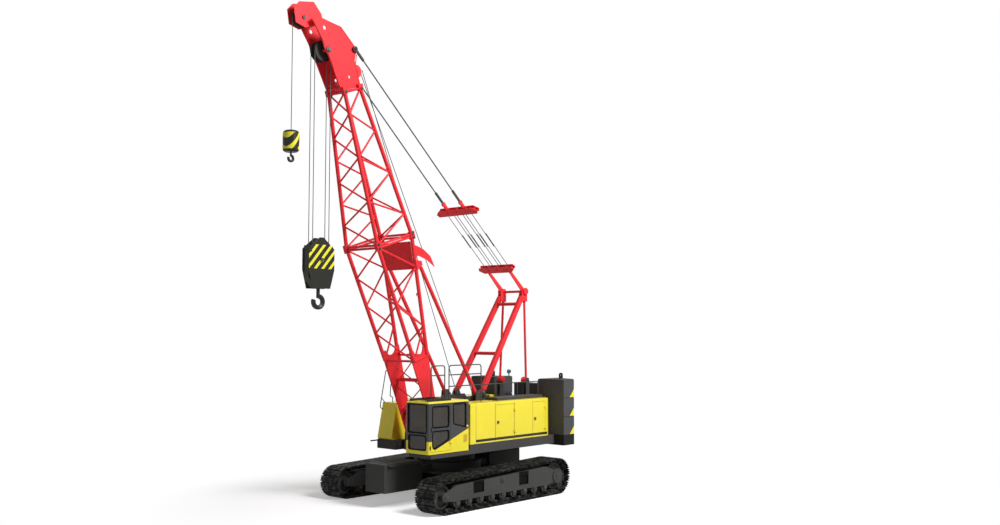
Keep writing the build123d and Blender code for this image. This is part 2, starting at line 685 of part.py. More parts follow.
def seat_base():
    """The pedestal of the seat on the cab floor."""
    x = (CAB_REAR + CAB_FRONT) / 2 - 200
    y = (CAB_INNER + CAB_OUTER) / 2
    return block(x - 150, x + 150, y - 120, y + 120, CAB_BOTTOM + CAB_WALL, SEAT_HEIGHT)


def seat():
    """The cushion and the back of the seat."""
    x = (CAB_REAR + CAB_FRONT) / 2 - 200
    y = (CAB_INNER + CAB_OUTER) / 2
    cushion = fillet(block(x - 260, x + 260, y - 240, y + 240, SEAT_HEIGHT, SEAT_HEIGHT + 130).edges(), 35)
    back = fillet(block(x - 370, x - 240, y - 220, y + 220, SEAT_HEIGHT + 40, SEAT_HEIGHT + 760).edges(), 35)
    return cushion + back


def console():
    """The desk with the levers ahead of the seat."""
    x = CAB_FRONT - CAB_WALL
    z = CAB_BOTTOM + CAB_WALL
    desk = [(x - 440, z), (x - 70, z), (x - 70, z + 480), (x - 290, z + 560), (x - 440, z + 460)]
    return side_plate(desk, CAB_INNER + 190, CAB_INNER + 440)


# Machine houses


def house():
    """A long closed house on the cab side of the frame, with its two doorways."""
    outer = block(HOUSE_REAR, HOUSE_FRONT, HOUSE_INNER, DECK_HALF_WIDTH, DECK_TOP, HOUSE_TOP)
    corner = outer.edges().filter_by(Axis.Z).sort_by(Axis.X)[:2].sort_by(Axis.Y)[-1]
    outer = fillet(corner, HOUSE_CORNER)
    outer = fillet(outer.faces().sort_by(Axis.Z)[-1].edges(), 35)
    w = HOUSE_WALL
    room = block(HOUSE_REAR + w, HOUSE_FRONT - w, HOUSE_INNER + w, DECK_HALF_WIDTH - w, DECK_TOP - 1, HOUSE_TOP - w)
    corner = room.edges().filter_by(Axis.Z).sort_by(Axis.X)[:2].sort_by(Axis.Y)[-1]
    shell = outer - fillet(corner, HOUSE_CORNER - w)
    y0, y1 = DECK_HALF_WIDTH - w - 1, DECK_HALF_WIDTH + 1
    for x0, x1 in HOUSE_DOORS:
        shell = shell - block(x0, x1, y0, y1, DECK_TOP + HOUSE_SILL, HOUSE_TOP - HOUSE_SILL)
        shell = shell + hinge_seats(x0 + RUN_GAP, DECK_HALF_WIDTH, HOUSE_HINGES)
    return shell


def house_door(x0, x1):
    """One door of a house, as thick as the wall, with its handle near the front edge."""
    g = RUN_GAP
    y = DECK_HALF_WIDTH
    z0, z1 = DECK_TOP + HOUSE_SILL + g, HOUSE_TOP - HOUSE_SILL - g
    panel = block(x0 + g, x1 - g, y - HOUSE_WALL, y, z0, z1)
    handle = block(x1 - 150, x1 - 70, y, y + 24, 2270, 2350)
    return fuse([panel, handle] + hinge_knuckles(x0 + g, y, HOUSE_HINGES)) - hinge_bore(x0 + g, y)


def hoop(x0, x1, low0, low1, top):
    """A handrail between two places on a roof, with rounded upper corners."""
    path = FilletPolyline((x0, RAIL_Y, low0), (x0, RAIL_Y, top), (x1, RAIL_Y, top), (x1, RAIL_Y, low1), radius=90)
    return sweep(Plane(origin=path @ 0, z_dir=path % 0) * Circle(RAIL_RADIUS), path=path)


def roof_rails():
    """The walkway on the left house with its low rail, and the two hoops ahead of it."""
    walk = block(WALK_REAR, WALK_FRONT, HOUSE_INNER + 40, RAIL_Y + 140, HOUSE_TOP, HOUSE_TOP + WALK_HEIGHT)
    floor = HOUSE_TOP + WALK_HEIGHT
    middle = (WALK_REAR + WALK_FRONT) / 2
    posts = [rod((x, RAIL_Y, floor), (x, RAIL_Y, LOW_RAIL), RAIL_RADIUS) for x in (WALK_REAR + 60, middle)]
    x0, x1 = HOOPS[0]
    bars = [rod((WALK_REAR + 60, RAIL_Y, LOW_RAIL), (x1, RAIL_Y, LOW_RAIL), RAIL_RADIUS)]
    bars.append(rod((x0, RAIL_Y, MIDDLE_RAIL), (x1, RAIL_Y, MIDDLE_RAIL), RAIL_RADIUS))
    return fuse([walk, hoop(x0, x1, HOUSE_TOP, CAB_TOP, RAIL_TOP)] + posts + bars)


def front_hoop():
    """The hoop on the cab roof."""
    x0, x1 = HOOPS[1]
    rail = rod((x0, RAIL_Y, MIDDLE_RAIL), (x1, RAIL_Y, MIDDLE_RAIL), RAIL_RADIUS)
    return fuse([hoop(x0, x1, CAB_TOP, CAB_TOP, RAIL_TOP), rail])


def cabinet():
    """The leaning cabinet at the front of the right side."""
    top = HOUSE_TOP - 70
    outline = [(HOUSE_FRONT, DECK_TOP), (CABINET_FRONT, DECK_TOP), (CABINET_FRONT - CABINET_LEAN, top), (HOUSE_FRONT, top)]
    body = side_plate(outline, -DECK_HALF_WIDTH, -CABINET_INNER)
    return fillet(body.edges().filter_by(Axis.Y).sort_by(Axis.X)[-1], 60)


def engine():
    """The engine, a plain block in the right house."""
    return block(-2850, -1150, -DECK_HALF_WIDTH + 140, -HOUSE_INNER - 100, DECK_TOP, ENGINE_TOP)


# Tail


def tail_plan(y0, y1):
    """The plan of a slab: straight in front, round behind about the slewing axis."""
    def back(y):
        return -(TAIL_RADIUS ** 2 - y ** 2) ** 0.5
    middle = (y0 + y1) / 2
    arc = ThreePointArc((back(y0), y0, 0), (back(middle), middle, 0), (back(y1), y1, 0))
    sides = [Line((back(y1), y1, 0), (TAIL_FRONT, y1, 0)), Line((TAIL_FRONT, y1, 0), (TAIL_FRONT, y0, 0))]
    return make_face([arc] + sides + [Line((TAIL_FRONT, y0, 0), (back(y0), y0, 0))])


def tail_base():
    """The tray across the tail that carries both stacks."""
    plan = tail_plan(-TAIL_HALF_WIDTH, TAIL_HALF_WIDTH)
    return Pos(0, 0, TAIL_BOTTOM) * extrude(plan, TAIL_SLAB_TOPS[0] - TAIL_BOTTOM)


def tail_slab(index):
    """The left slab of one layer, drawn in at its top edge so that the joint shows."""
    low, high = TAIL_SLAB_TOPS[index], TAIL_SLAB_TOPS[index + 1]
    slab = Pos(0, 0, low) * extrude(tail_plan(TAIL_GAP_HALF, TAIL_HALF_WIDTH), high - low - TAIL_SEAM)
    seam = Pos(0, 0, high - TAIL_SEAM) * extrude(tail_plan(TAIL_GAP_HALF + 40, TAIL_HALF_WIDTH - 40), TAIL_SEAM)
    return slab + seam


def tail_box():
    """The box between the two stacks."""
    return block(TAIL_BOX_REAR, TAIL_BOX_FRONT, -TAIL_BOX_HALF, TAIL_BOX_HALF, TAIL_SLAB_TOPS[0], TAIL_BOX_TOP)


def tail_lug():
    """A lifting eye on top of a stack."""
    x, z = TAIL_LUG_X, TAIL_TOP + 110
    y = (TAIL_GAP_HALF + TAIL_HALF_WIDTH) / 2
    half = TAIL_LUG_THICKNESS / 2
    ear = block(x - 80, x + 80, y - half, y + half, TAIL_TOP, z) + cross_rod(x, z, y - half, y + half, 80)
    return ear - cross_rod(x, z, y - 2 * half, y + 2 * half, TAIL_LUG_HOLE)


# Gantry and stays


def gantry_leg(side):
    """One leg with its foot eye and the two cheeks that hold the top pin."""
    foot = Vector(GANTRY_FOOT_X, side * GANTRY_FOOT_Y, GANTRY_FOOT_Z)
    top = Vector(GANTRY_TOP_X, side * GANTRY_TOP_Y, GANTRY_TOP_Z)
    run = top - foot
    base = Plane(origin=foot, x_dir=(0, 1, 0), z_dir=run)
    leg = base * Pos(0, 0, 120) * Box(GANTRY_LEG_WIDTH, GANTRY_LEG_DEPTH, run.length - 350, align=ON_FOOT)
    neck = base * Box(GANTRY_EYE - 10, 2 * GANTRY_EYE_RADIUS - 20, 150, align=ON_FOOT)
    y0 = side * GANTRY_FOOT_Y
    eye = cross_rod(foot.X, foot.Z, y0 - GANTRY_EYE / 2, y0 + GANTRY_EYE / 2, GANTRY_EYE_RADIUS)
    x, z = top.X, top.Z
    outline = [(x - 110, z - 330), (x + 190, z - 330), (x + 150, z), (x + 40, z + 110), (x - 60, z + 110), (x - 110, z + 40)]
    cheeks = []
    for shift in (-GANTRY_GAP / 2 - GANTRY_CHEEK, GANTRY_GAP / 2):
        y = side * GANTRY_TOP_Y + shift
        cheeks.append(side_plate(outline, y, y + GANTRY_CHEEK))
    return [leg, neck, eye] + cheeks


def gantry():
    """The frame of two sloping legs with its cross tubes and its top pins."""
    bars = []
    for share in (0.37, 0.87):
        x = GANTRY_FOOT_X + share * (GANTRY_TOP_X - GANTRY_FOOT_X)
        z = GANTRY_FOOT_Z + share * (GANTRY_TOP_Z - GANTRY_FOOT_Z)
        y = GANTRY_FOOT_Y + share * (GANTRY_TOP_Y - GANTRY_FOOT_Y)
        bars.append(cross_rod(x, z, -y, y, 55))
    reach = GANTRY_TOP_Y + GANTRY_GAP / 2 + GANTRY_CHEEK + 25
    pin = cross_rod(GANTRY_TOP_X, GANTRY_TOP_Z, -reach, reach, GANTRY_PIN_RADIUS)
    return fuse(gantry_leg(-1) + gantry_leg(1) + bars + [pin])


def gantry_link():
    """The upright bar behind a leg, with a flat eye at each end."""
    half = GANTRY_GAP / 2
    x1, y1, z1 = GANTRY_TOP_X - 30, GANTRY_TOP_Y, GANTRY_TOP_Z - 270
    bar = rod((LINK_X, LINK_Y, LINK_EYE_Z), (x1, y1 + 3, z1 - 75), LINK_RADIUS)
    tongue = block(x1 - 45, x1 + 45, y1 - half, y1 + half, z1 - 110, z1)
    top = cross_rod(x1, z1, y1 - half, y1 + half, 55)
    eye = cross_rod(LINK_X, LINK_EYE_Z, LINK_Y - LINK_EYE / 2, LINK_Y + LINK_EYE / 2, 100)
    return fuse([bar, tongue, top, eye])


def gantry_post():
    """The post on the rear of the frame whose ears hold the upright bar."""
    x, z, half = LINK_X, LINK_EYE_Z, LINK_EYE / 2
    outline = [(x - 90, DECK_TOP), (x + 110, DECK_TOP), (x + 80, z), (x + 50, z + 90), (x - 50, z + 90), (x - 80, z)]
    near = side_plate(outline, LINK_Y - half - 35, LINK_Y - half)
    far = side_plate(outline, LINK_Y + half, LINK_Y + half + 35)
    core = block(x - 80, x + 90, LINK_Y - half, LINK_Y + half, DECK_TOP, z - 500)
    return fuse([near, far, core])


def spreader_sheave(at, y):
    """A sheave lying flat between the plates of a spreader, grooved for one rope."""
    r = SPREADER_SHEAVE_RADIUS
    outline = [(0, -28), (r + 22, -28), (r + 22, -14), (r, -12), (r, 12), (r + 22, 14), (r + 22, 28), (0, 28)]
    face = make_face(Polyline(*[(x, 0, z) for x, z in outline], close=True))
    return Pos(at, y, 0) * revolve(face, Axis.Z)


def spreader(at, half, shift, facing):
    """Two plates with three sheaves and their pins between, on the line of stays."""
    outline = [(-115, -half + 170), (20, -half), (130, -half + 60), (130, half - 60), (20, half), (-115, half - 170)]
    if facing < 0:
        outline = [(-x, y) for x, y in outline]
    face = make_face(Polyline(*[(at + x, y, 0) for x, y in outline], close=True))
    half_gap = SPREADER_GAP / 2
    plates = [Pos(0, 0, z) * extrude(face, SPREADER_PLATE) for z in (-half_gap - SPREADER_PLATE, half_gap)]
    webs = [block(at - 60, at + 60, y - 15, y + 15, -half_gap, half_gap) for y in (-half + 130, half - 130)]
    places = [k * SPREADER_PITCH + shift for k in (-1, 0, 1)]
    sheaves = [spreader_sheave(at, y) for y in places]
    pins = [Pos(at, y, 0) * Cylinder(28, SPREADER_GAP + 2 * SPREADER_PLATE + 40) for y in places]
    return plates + webs + sheaves + pins


def line_places(shift):
    """The Y of each luffing line beside its sheave."""
    near = SPREADER_SHEAVE_RADIUS + ROPE_RADIUS + SEAT_GAP
    return [k * SPREADER_PITCH + shift + side * near for k in (-1, 0, 1) for side in (-1, 1)]


def lower_spreader():
    """The spreader on the gantry with the two links down to the gantry pin."""
    pieces = spreader(LOWER_SPREADER_AT, LOWER_SPREADER_HALF, LINE_OFFSET, 1)
    end = LOWER_SPREADER_AT - 70
    high = SPREADER_GAP / 2
    for side in (-1, 1):
        y0, y1 = side * GANTRY_TOP_Y - 16, side * GANTRY_TOP_Y + 16
        pieces.append(side_plate([(0, -80), (end, -high), (end, high), (0, 80)], y0, y1))
        pieces.append(cross_rod(0, 0, y0, y1, 85))
    reach = 2 * GANTRY_TOP_Y
    return on_line(fuse(pieces) - cross_rod(0, 0, -reach, reach, GANTRY_PIN_RADIUS + PIN_FIT))


def upper_spreader():
    """The spreader on the pendants, with a lug for each."""
    pieces = spreader(UPPER_SPREADER_AT, UPPER_SPREADER_HALF, 0, -1)
    for side in (-1, 1):
        y = side * PENDANT_Y
        high = SPREADER_GAP / 2
        pieces.append(block(UPPER_SPREADER_AT + 60, UPPER_SPREADER_AT + 330, y - 30, y + 30, -high, high))
        pieces.append(cross_rod(UPPER_SPREADER_AT + 330, 0, y - 30, y + 30, 70))
    return on_line(fuse(pieces))


def lines(start, end, shift):
    """The luffing lines between two places on the line of stays."""
    return [on_line(rod((start, y, 0), (end, y, 0), ROPE_RADIUS)) for y in line_places(shift)]


def pendant(side):
    """A stay rope with its sockets, from the spreader to the boom head."""
    y = side * PENDANT_Y
    low = UPPER_SPREADER_AT + 400
    half = PENDANT_EYE / 2
    rope = rod((low, y, 0), (LINE_LENGTH - 60, y, 0), PENDANT_RADIUS)
    socket = rod((low, y, 0), (low + 420, y, 0), 42)
    upper = rod((LINE_LENGTH - 420, y, 0), (LINE_LENGTH - 50, y, 0), 42)
    eye = cross_rod(LINE_LENGTH, 0, y - half, y + half, 75)
    hole = cross_rod(LINE_LENGTH, 0, y - 2 * half, y + 2 * half, PENDANT_PIN_RADIUS + PIN_FIT)
    return on_line(fuse([rope, socket, upper, eye]) - hole)


def backstop(side):
    """A tube that leans from the frame to the back of the boom, with an eye at each end."""
    x1, z1 = boom_point(BACKSTOP_S, BACKSTOP_N)
    y = side * BACKSTOP_Y
    run = Vector(x1 - BACKSTOP_X, 0, z1 - BACKSTOP_Z).normalized()
    low = Vector(BACKSTOP_X, y, BACKSTOP_Z)
    high = Vector(x1, y, z1)
    tube = rod(low + run * 60, high - run * 120, BACKSTOP_RADIUS)
    neck = rod(high - run * 260, high - run * 40, 36)
    foot = cross_rod(BACKSTOP_X, BACKSTOP_Z, y - 50, y + 50, 66)
    half = BACKSTOP_EYE / 2
    head = cross_rod(x1, z1, y - half, y + half, 58)
    hole = cross_rod(x1, z1, y - 2 * half, y + 2 * half, BACKSTOP_PIN_RADIUS + PIN_FIT)
    return fuse([tube, neck, foot, head]) - hole


# Boom


def chord_point(start, end, share, side, face):
    """A point on one of the four chords: side is across the boom, face is its front or its back."""
    s, y, n = [a + share * (b - a) for a, b in zip(start, end)]
    return s, side * y, face * n


def side_truss(start, end, bays, side):
    """The two chords of one side of a level boom, with a zigzag of braces between them."""
    def at(share, face):
        return chord_point(start, end, share, side, face)
    bars = [rod(at(0, face), at(1, face), CHORD_RADIUS) for face in (-1, 1)]
    bars += [rod(at(share, -1), at(share, 1), BATTEN_RADIUS) for share in (0, 1)]
    for k in range(bays):
        face = 1 if k % 2 else -1
        bars.append(rod(at(k / bays, face), at((k + 1) / bays, -face), BRACE_RADIUS))
    return bars


def lacing(start, end, bays, face):
    """The braces across the front or the back, cut to the two chords that they meet."""
    def at(share, side):
        return chord_point(start, end, share, side, face)
    bars = [rod(at(share, -1), at(share, 1), BATTEN_RADIUS, SEAM_TURN) for share in (0, 1)]
    for k in range(bays):
        side = face if k % 2 else -face
        bars.append(rod(at(k / bays, side), at((k + 1) / bays, -side), BRACE_RADIUS, SEAM_TURN))
    return fuse(bars) - [rod(at(0, side), at(1, side), CHORD_RADIUS + SEAT_GAP) for side in (-1, 1)]


def joint_lugs(s0, s1, half_y, half_n, sides=(-1, 1), grow=0.0):
    """The blocks at the corners where two sections meet, larger all round by what grow says."""
    w, h = LUG_HALF_WIDTH + grow, LUG_HALF_DEPTH + grow
    corners = [(side * half_y, n) for side in sides for n in (-half_n, half_n)]
    return [block(s0 - grow, s1 + grow, y - w, y + w, n - h, n + h) for y, n in corners]


def foot_half_width(s):
    """Half the width of the foot section between chord centres at a place along it."""
    return FOOT_PLATE_Y + (SECTION_HALF - FOOT_PLATE_Y) * s / FOOT_SECTION_LENGTH


def foot_half_depth(s):
    """Half the depth of the foot section between chord centres at a place along it."""
    return SECTION_HALF * s / FOOT_SECTION_LENGTH


def foot_plate(side):
    """The solid side of the foot section, with the boss round its pin and a round notch on top."""
    end = FOOT_PLATE_END
    reach = foot_half_depth(end) + 50
    outline = [(0, -FOOT_BOSS_RADIUS), (end, -reach), (end, reach), (0, FOOT_BOSS_RADIUS)]
    y0 = side * FOOT_PLATE_Y - FOOT_PLATE / 2
    y1 = y0 + FOOT_PLATE
    plate = side_plate(outline, y0, y1) + cross_rod(0, 0, y0, y1, FOOT_BOSS_RADIUS)
    return plate - cross_rod(end, 0, y0 - 1, y1 + 1, PLATE_NOTCH)


def boom_horn(side):
    """The bent arm behind the upper end of the foot section."""
    s = FOOT_SECTION_LENGTH
    outline = [(s - 280, 670), (s - 360, 810), (s - 510, 1020), (s - 780, 1240), (s - 1130, 1320), (s - 860, 1080)]
    outline += [(s - 660, 800), (s - 640, 660)]
    y = side * SECTION_HALF
    return side_plate(outline, y - HORN_THICKNESS / 2, y + HORN_THICKNESS / 2)


def boom_panel():
    """The plate inside the back of the foot section, seated on the braces there."""
    points = []
    for s, sign in ((PANEL_START, -1), (PANEL_START, 1), (PANEL_END, 1), (PANEL_END, -1)):
        n = foot_half_depth(s) - BRACE_RADIUS - SEAT_GAP - PANEL_THICKNESS
        points.append((s, sign * (foot_half_width(s) - CHORD_RADIUS - SEAT_GAP), n))
    return extrude(make_face(Polyline(*points, close=True)), PANEL_THICKNESS, dir=(0, 0, 1))


def backstop_ears(side):
    """The two ears and the pin on the back of the boom that hold a backstop."""
    y = side * BACKSTOP_Y
    s, n = BACKSTOP_S, BACKSTOP_N
    low = foot_half_depth(s) - 30
    inner = BACKSTOP_EYE / 2 + 6
    outer = inner + BACKSTOP_EAR
    outline = [(s - EAR_REACH, low), (s + EAR_REACH, low), (s + 60, n + 60), (s - 60, n + 60)]
    ears = [side_plate(outline, y - outer, y - inner), side_plate(outline, y + inner, y + outer)]
    return ears + [cross_rod(s, n, y - outer - 5, y + outer + 5, BACKSTOP_PIN_RADIUS)]


def side_clearance(side):
    """The room of one side's plate and backstop ears, which the cross braces keep out of."""
    plate = FOOT_PLATE_Y - FOOT_PLATE / 2 - SEAT_GAP
    ears = BACKSTOP_Y - BACKSTOP_EYE / 2 - 6 - BACKSTOP_EAR - SEAT_GAP
    reach = foot_half_depth(FOOT_PLATE_END) + 100
    low = foot_half_depth(BACKSTOP_S) - 30 - SEAT_GAP
    far = side * (SECTION_HALF + 200)
    s0, s1 = BACKSTOP_S - EAR_REACH - SEAT_GAP, BACKSTOP_S + EAR_REACH + SEAT_GAP
    return [block(0, FOOT_PLATE_END, side * plate, far, -reach, reach), block(s0, s1, side * ears, far, low, 2 * low)]


def foot_ends():
    """Place, half width and half depth of the lattice of the foot section, at both ends."""
    s0 = FOOT_PLATE_END - 300
    s1 = FOOT_SECTION_LENGTH - 40
    return [(s, foot_half_width(s), foot_half_depth(s)) for s in (s0, s1)]


def boom_foot_side(side):
    """One side of the lower section: a solid plate at the pin, then an open truss."""
    s1 = FOOT_SECTION_LENGTH
    frame = side_truss(*foot_ends(), FOOT_BAYS, side)
    lugs = joint_lugs(s1 - LUG_LENGTH, s1, SECTION_HALF, SECTION_HALF, [side])
    bore = cross_rod(0, 0, -2 * FOOT_PLATE_Y, 2 * FOOT_PLATE_Y, FOOT_PIN_RADIUS + PIN_FIT)
    extras = backstop_ears(side) + [boom_horn(side)]
    return on_boom(fuse(frame + [foot_plate(side)] + lugs + extras) - bore)


def boom_foot_lacing():
    """The braces across the lower section and the two tubes between its plates."""
    s1 = FOOT_SECTION_LENGTH
    inner = FOOT_PLATE_Y - FOOT_PLATE / 2
    ties = [cross_rod(700, 0, -inner, inner, 70), cross_rod(1700, 0, -inner, inner, 55)]
    cuts = joint_lugs(s1 - LUG_LENGTH, s1, SECTION_HALF, SECTION_HALF, grow=SEAT_GAP)
    cuts += side_clearance(-1) + side_clearance(1)
    ties.append(boom_panel() - side_clearance(-1) - side_clearance(1))
    for face in (-1, 1):
        ties += (lacing(*foot_ends(), FOOT_BAYS, face) - cuts).solids()
    return [on_boom(s) for s in ties]


def boom_top_side(side):
    """One side of the upper section, a truss that narrows to the head."""
    s0, s1 = FOOT_SECTION_LENGTH, HEAD_BASE
    start = (s0 + 40, SECTION_HALF, SECTION_HALF)
    frame = side_truss(start, (s1 - 40, HEAD_HALF_WIDTH, HEAD_HALF_DEPTH), TOP_BAYS, side)
    low = joint_lugs(s0, s0 + LUG_LENGTH, SECTION_HALF, SECTION_HALF, [side])
    high = joint_lugs(s1 - 100, s1, HEAD_HALF_WIDTH, HEAD_HALF_DEPTH, [side])
    return on_boom(fuse(frame + low + high))


def boom_top_lacing():
    """The braces across the front and the back of the upper section."""
    s0, s1 = FOOT_SECTION_LENGTH, HEAD_BASE
    start = (s0 + 40, SECTION_HALF, SECTION_HALF)
    end = (s1 - 40, HEAD_HALF_WIDTH, HEAD_HALF_DEPTH)
    cuts = joint_lugs(s0, s0 + LUG_LENGTH, SECTION_HALF, SECTION_HALF, grow=SEAT_GAP)
    cuts += joint_lugs(s1 - 100, s1, HEAD_HALF_WIDTH, HEAD_HALF_DEPTH, grow=SEAT_GAP)
    return [on_boom(s) for face in (-1, 1) for s in (lacing(start, end, TOP_BAYS, face) - cuts).solids()]


def head_plate(side):
    """One side plate of the head with its lugs, its bosses and the stub of the pendant pin."""
    b = HEAD_BASE
    pin_s, pin_n = PENDANT_PIN_S, PENDANT_PIN_N
    outline = [(b, -380), (b, 370), (pin_s - 330, 360), (pin_s - 60, pin_n + 70), (pin_s + 60, pin_n + 70)]
    outline += [(b + 1750, 140), (b + 1950, -280), (b + 2130, -620), (b + 2050, -830), (b + 1440, -640)]
    outline += [(MAIN_SHEAVE_S, MAIN_SHEAVE_N - 110), (b + 1040, -560), (b + 580, -480)]
    inner, outer = HEAD_PLATE_Y - HEAD_PLATE / 2, HEAD_PLATE_Y + HEAD_PLATE / 2
    plate = side_plate(outline, side * inner, side * outer)
    lugs = joint_lugs(b, b + 90, HEAD_HALF_WIDTH, HEAD_HALF_DEPTH, [side])
    boss = cross_rod(MAIN_SHEAVE_S, MAIN_SHEAVE_N, side * inner, side * (outer + 25), MAIN_SHAFT_RADIUS)
    reach = PENDANT_Y + PENDANT_EYE / 2 + 15
    stub = cross_rod(pin_s, pin_n, side * inner, side * reach, PENDANT_PIN_RADIUS)
    hole = cross_rod(JIB_HOLE_S, JIB_HOLE_N, -500, 500, JIB_HOLE_RADIUS)
    return fuse([plate, boss, stub] + lugs) - hole - cross_rod(LIFT_HOLE_S, LIFT_HOLE_N, -500, 500, LIFT_HOLE_RADIUS)


def boom_head():
    """The head: two side plates, and the cross tubes and the shaft that fit between them."""
    y = HEAD_PLATE_Y - HEAD_PLATE / 2 - SEAT_GAP
    b = HEAD_BASE
    places = [(b + 90, -300, 60), (b + 90, 290, 60), (HEAD_TIE_S, 0, HEAD_TIE_RADIUS), (b + 1630, -60, 60)]
    places.append((MAIN_SHEAVE_S, MAIN_SHEAVE_N, MAIN_SHAFT_RADIUS))
    ties = [cross_rod(s, n, -y, y, r) for s, n, r in places]
    lugs = joint_lugs(b, b + 90, HEAD_HALF_WIDTH, HEAD_HALF_DEPTH, grow=SEAT_GAP)
    return [on_boom(s) for s in [head_plate(-1), head_plate(1)] + [tie - lugs for tie in ties]]


def groove_sheave(radius, count, pitch, bore):
    """Sheaves side by side on one hub, with a rope groove in each rim, revolved as one."""
    half = SHEAVE_WIDTH / 2
    rim = radius + RIM_HEIGHT
    hub = bore + 30
    reach = (count - 1) * pitch / 2 + half + 20
    outline = [(bore, -reach), (hub, -reach)]
    for i in range(count):
        y = (i - (count - 1) / 2) * pitch
        outline += [(hub, y - half), (rim, y - half), (rim, y - half + 8), (radius, y - ROPE_RADIUS - 1)]
        outline += [(radius, y + ROPE_RADIUS + 1), (rim, y + half - 8), (rim, y + half), (hub, y + half)]
    outline += [(hub, reach), (bore, reach)]
    face = make_face(Polyline(*[(x, y, 0) for x, y in outline], close=True))
    return revolve(face, Axis.Y)


def main_sheaves():
    """The two sheaves of the main falls."""
    sheaves = groove_sheave(MAIN_SHEAVE_RADIUS, 2, 2 * MAIN_SHEAVE_Y, MAIN_SHAFT_RADIUS + SEAT_GAP)
    return on_boom(Pos(MAIN_SHEAVE_S, 0, MAIN_SHEAVE_N) * sheaves)


def aux_nose():
    """The nose ahead of the head that holds the sheave of the single line."""
    b = HEAD_BASE
    outline = [(b + 1960, -330), (b + 2180, -330), (b + 2530, -500), (b + 2580, -1000), (b + 2440, -1230)]
    outline += [(b + 2040, -1290), (b + 1860, -1000), (b + 1880, -640)]
    y1 = NOSE_HALF_WIDTH
    plates = [side_plate(outline, side * y1 - 12, side * y1 + 12) for side in (-1, 1)]
    reach = HEAD_PLATE_Y - HEAD_PLATE / 2
    ties = [cross_rod(b + 1980, -480, -reach, reach, 40), cross_rod(b + 1910, -680, -reach, reach, 40)]
    ties += [cross_rod(b + 2460, -700, -y1, y1, 35)]
    shaft = cross_rod(AUX_SHEAVE_S, AUX_SHEAVE_N, -y1 - 30, y1 + 30, AUX_SHAFT_RADIUS)
    return on_boom(fuse(plates + ties + [shaft]))


def aux_sheave():
    """The sheave of the single line."""
    sheave = groove_sheave(AUX_SHEAVE_RADIUS, 1, 0, AUX_SHAFT_RADIUS + SEAT_GAP)
    return on_boom(Pos(AUX_SHEAVE_S, 0, AUX_SHEAVE_N) * sheave)


def guard_sheave():
    """The guide sheave on the back of the head with its two arms."""
    s, n = GUARD_SHEAVE_S, GUARD_SHEAVE_N
    low = HEAD_TIE_RADIUS
    outline = [(HEAD_TIE_S - 90, low), (HEAD_TIE_S + 90, low), (s + 60, n + 40), (s - 60, n + 40)]
    arms = [side_plate(outline, side * 60 - 10, side * 60 + 10) for side in (-1, 1)]
    disc = cross_rod(s, n, -SHEAVE_WIDTH / 2, SHEAVE_WIDTH / 2, 190)
    cut = cross_rod(HEAD_TIE_S, 0, -200, 200, HEAD_TIE_RADIUS + SEAT_GAP)
    return on_boom(fuse(arms + [cross_rod(s, n, -80, 80, 30), disc]) - cut)


# Hooks


def falls():
    """The four lines of the main falls, beside their sheaves."""
    gap = MAIN_SHEAVE_RADIUS + ROPE_RADIUS + SEAT_GAP
    places = [(MAIN_X + side * gap, y) for side in (-1, 1) for y in (-MAIN_SHEAVE_Y, MAIN_SHEAVE_Y)]
    return [rod((x, y, MAIN_BLOCK_TOP + 60), (x, y, MAIN_Z), ROPE_RADIUS) for x, y in places]


def main_block():
    """The hook block: two cheeks, the sheave housing between them and a neck below."""
    half = MAIN_BLOCK_LENGTH / 2
    top = MAIN_BLOCK_TOP
    right = [(60, top + 290), (half - 30, top), (half, top - 30), (half, MAIN_BLOCK_BOTTOM), (300, MAIN_BLOCK_NECK)]
    outline = [(MAIN_X + x, z) for x, z in right] + [(MAIN_X - x, z) for x, z in reversed(right)]
    w = MAIN_BLOCK_WIDTH / 2
    cheeks = [side_plate(outline, y, y + BLOCK_CHEEK) for y in (-w, w - BLOCK_CHEEK)]
    inner = [(half - 20, top + 60), (half - 20, MAIN_BLOCK_BOTTOM - 190), (260, MAIN_BLOCK_NECK + 30)]
    core = [(MAIN_X + x, z) for x, z in inner] + [(MAIN_X - x, z) for x, z in reversed(inner)]
    middle = side_plate(core, -w + BLOCK_CHEEK, w - BLOCK_CHEEK)
    neck = rod((MAIN_X, 0, MAIN_BLOCK_NECK), (MAIN_X, 0, MAIN_BLOCK_NECK + 200), 100)
    boss = cross_rod(MAIN_X, MAIN_BLOCK_TOP - 340, -w - 20, w + 20, 70)
    return fuse(cheeks + [middle, neck, boss])


def hook(x, top, bottom, bowl_radius, thick):
    """A forged hook: a round shank and a bowl with a flat land round its throat."""
    land = HOOK_LAND / 2
    outer = bowl_radius + thick
    centre = bottom + outer
    outline = [(bowl_radius, -land), (bowl_radius, land), (outer - 0.4 * thick, 0.5 * thick)]
    outline += [(outer, 0.3 * thick), (outer, -0.3 * thick), (outer - 0.4 * thick, -0.5 * thick)]
    section = make_face(Polyline(*[(r, y, 0) for r, y in outline], close=True))
    bowl = Rot(0, HOOK_TIP_TURN, 0) * revolve(section, Axis.Y, HOOK_SWEEP)
    shank = rod((x, 0, centre + bowl_radius + 8), (x, 0, top), 0.42 * thick)
    return fuse([Pos(x, 0, centre) * bowl, shank])


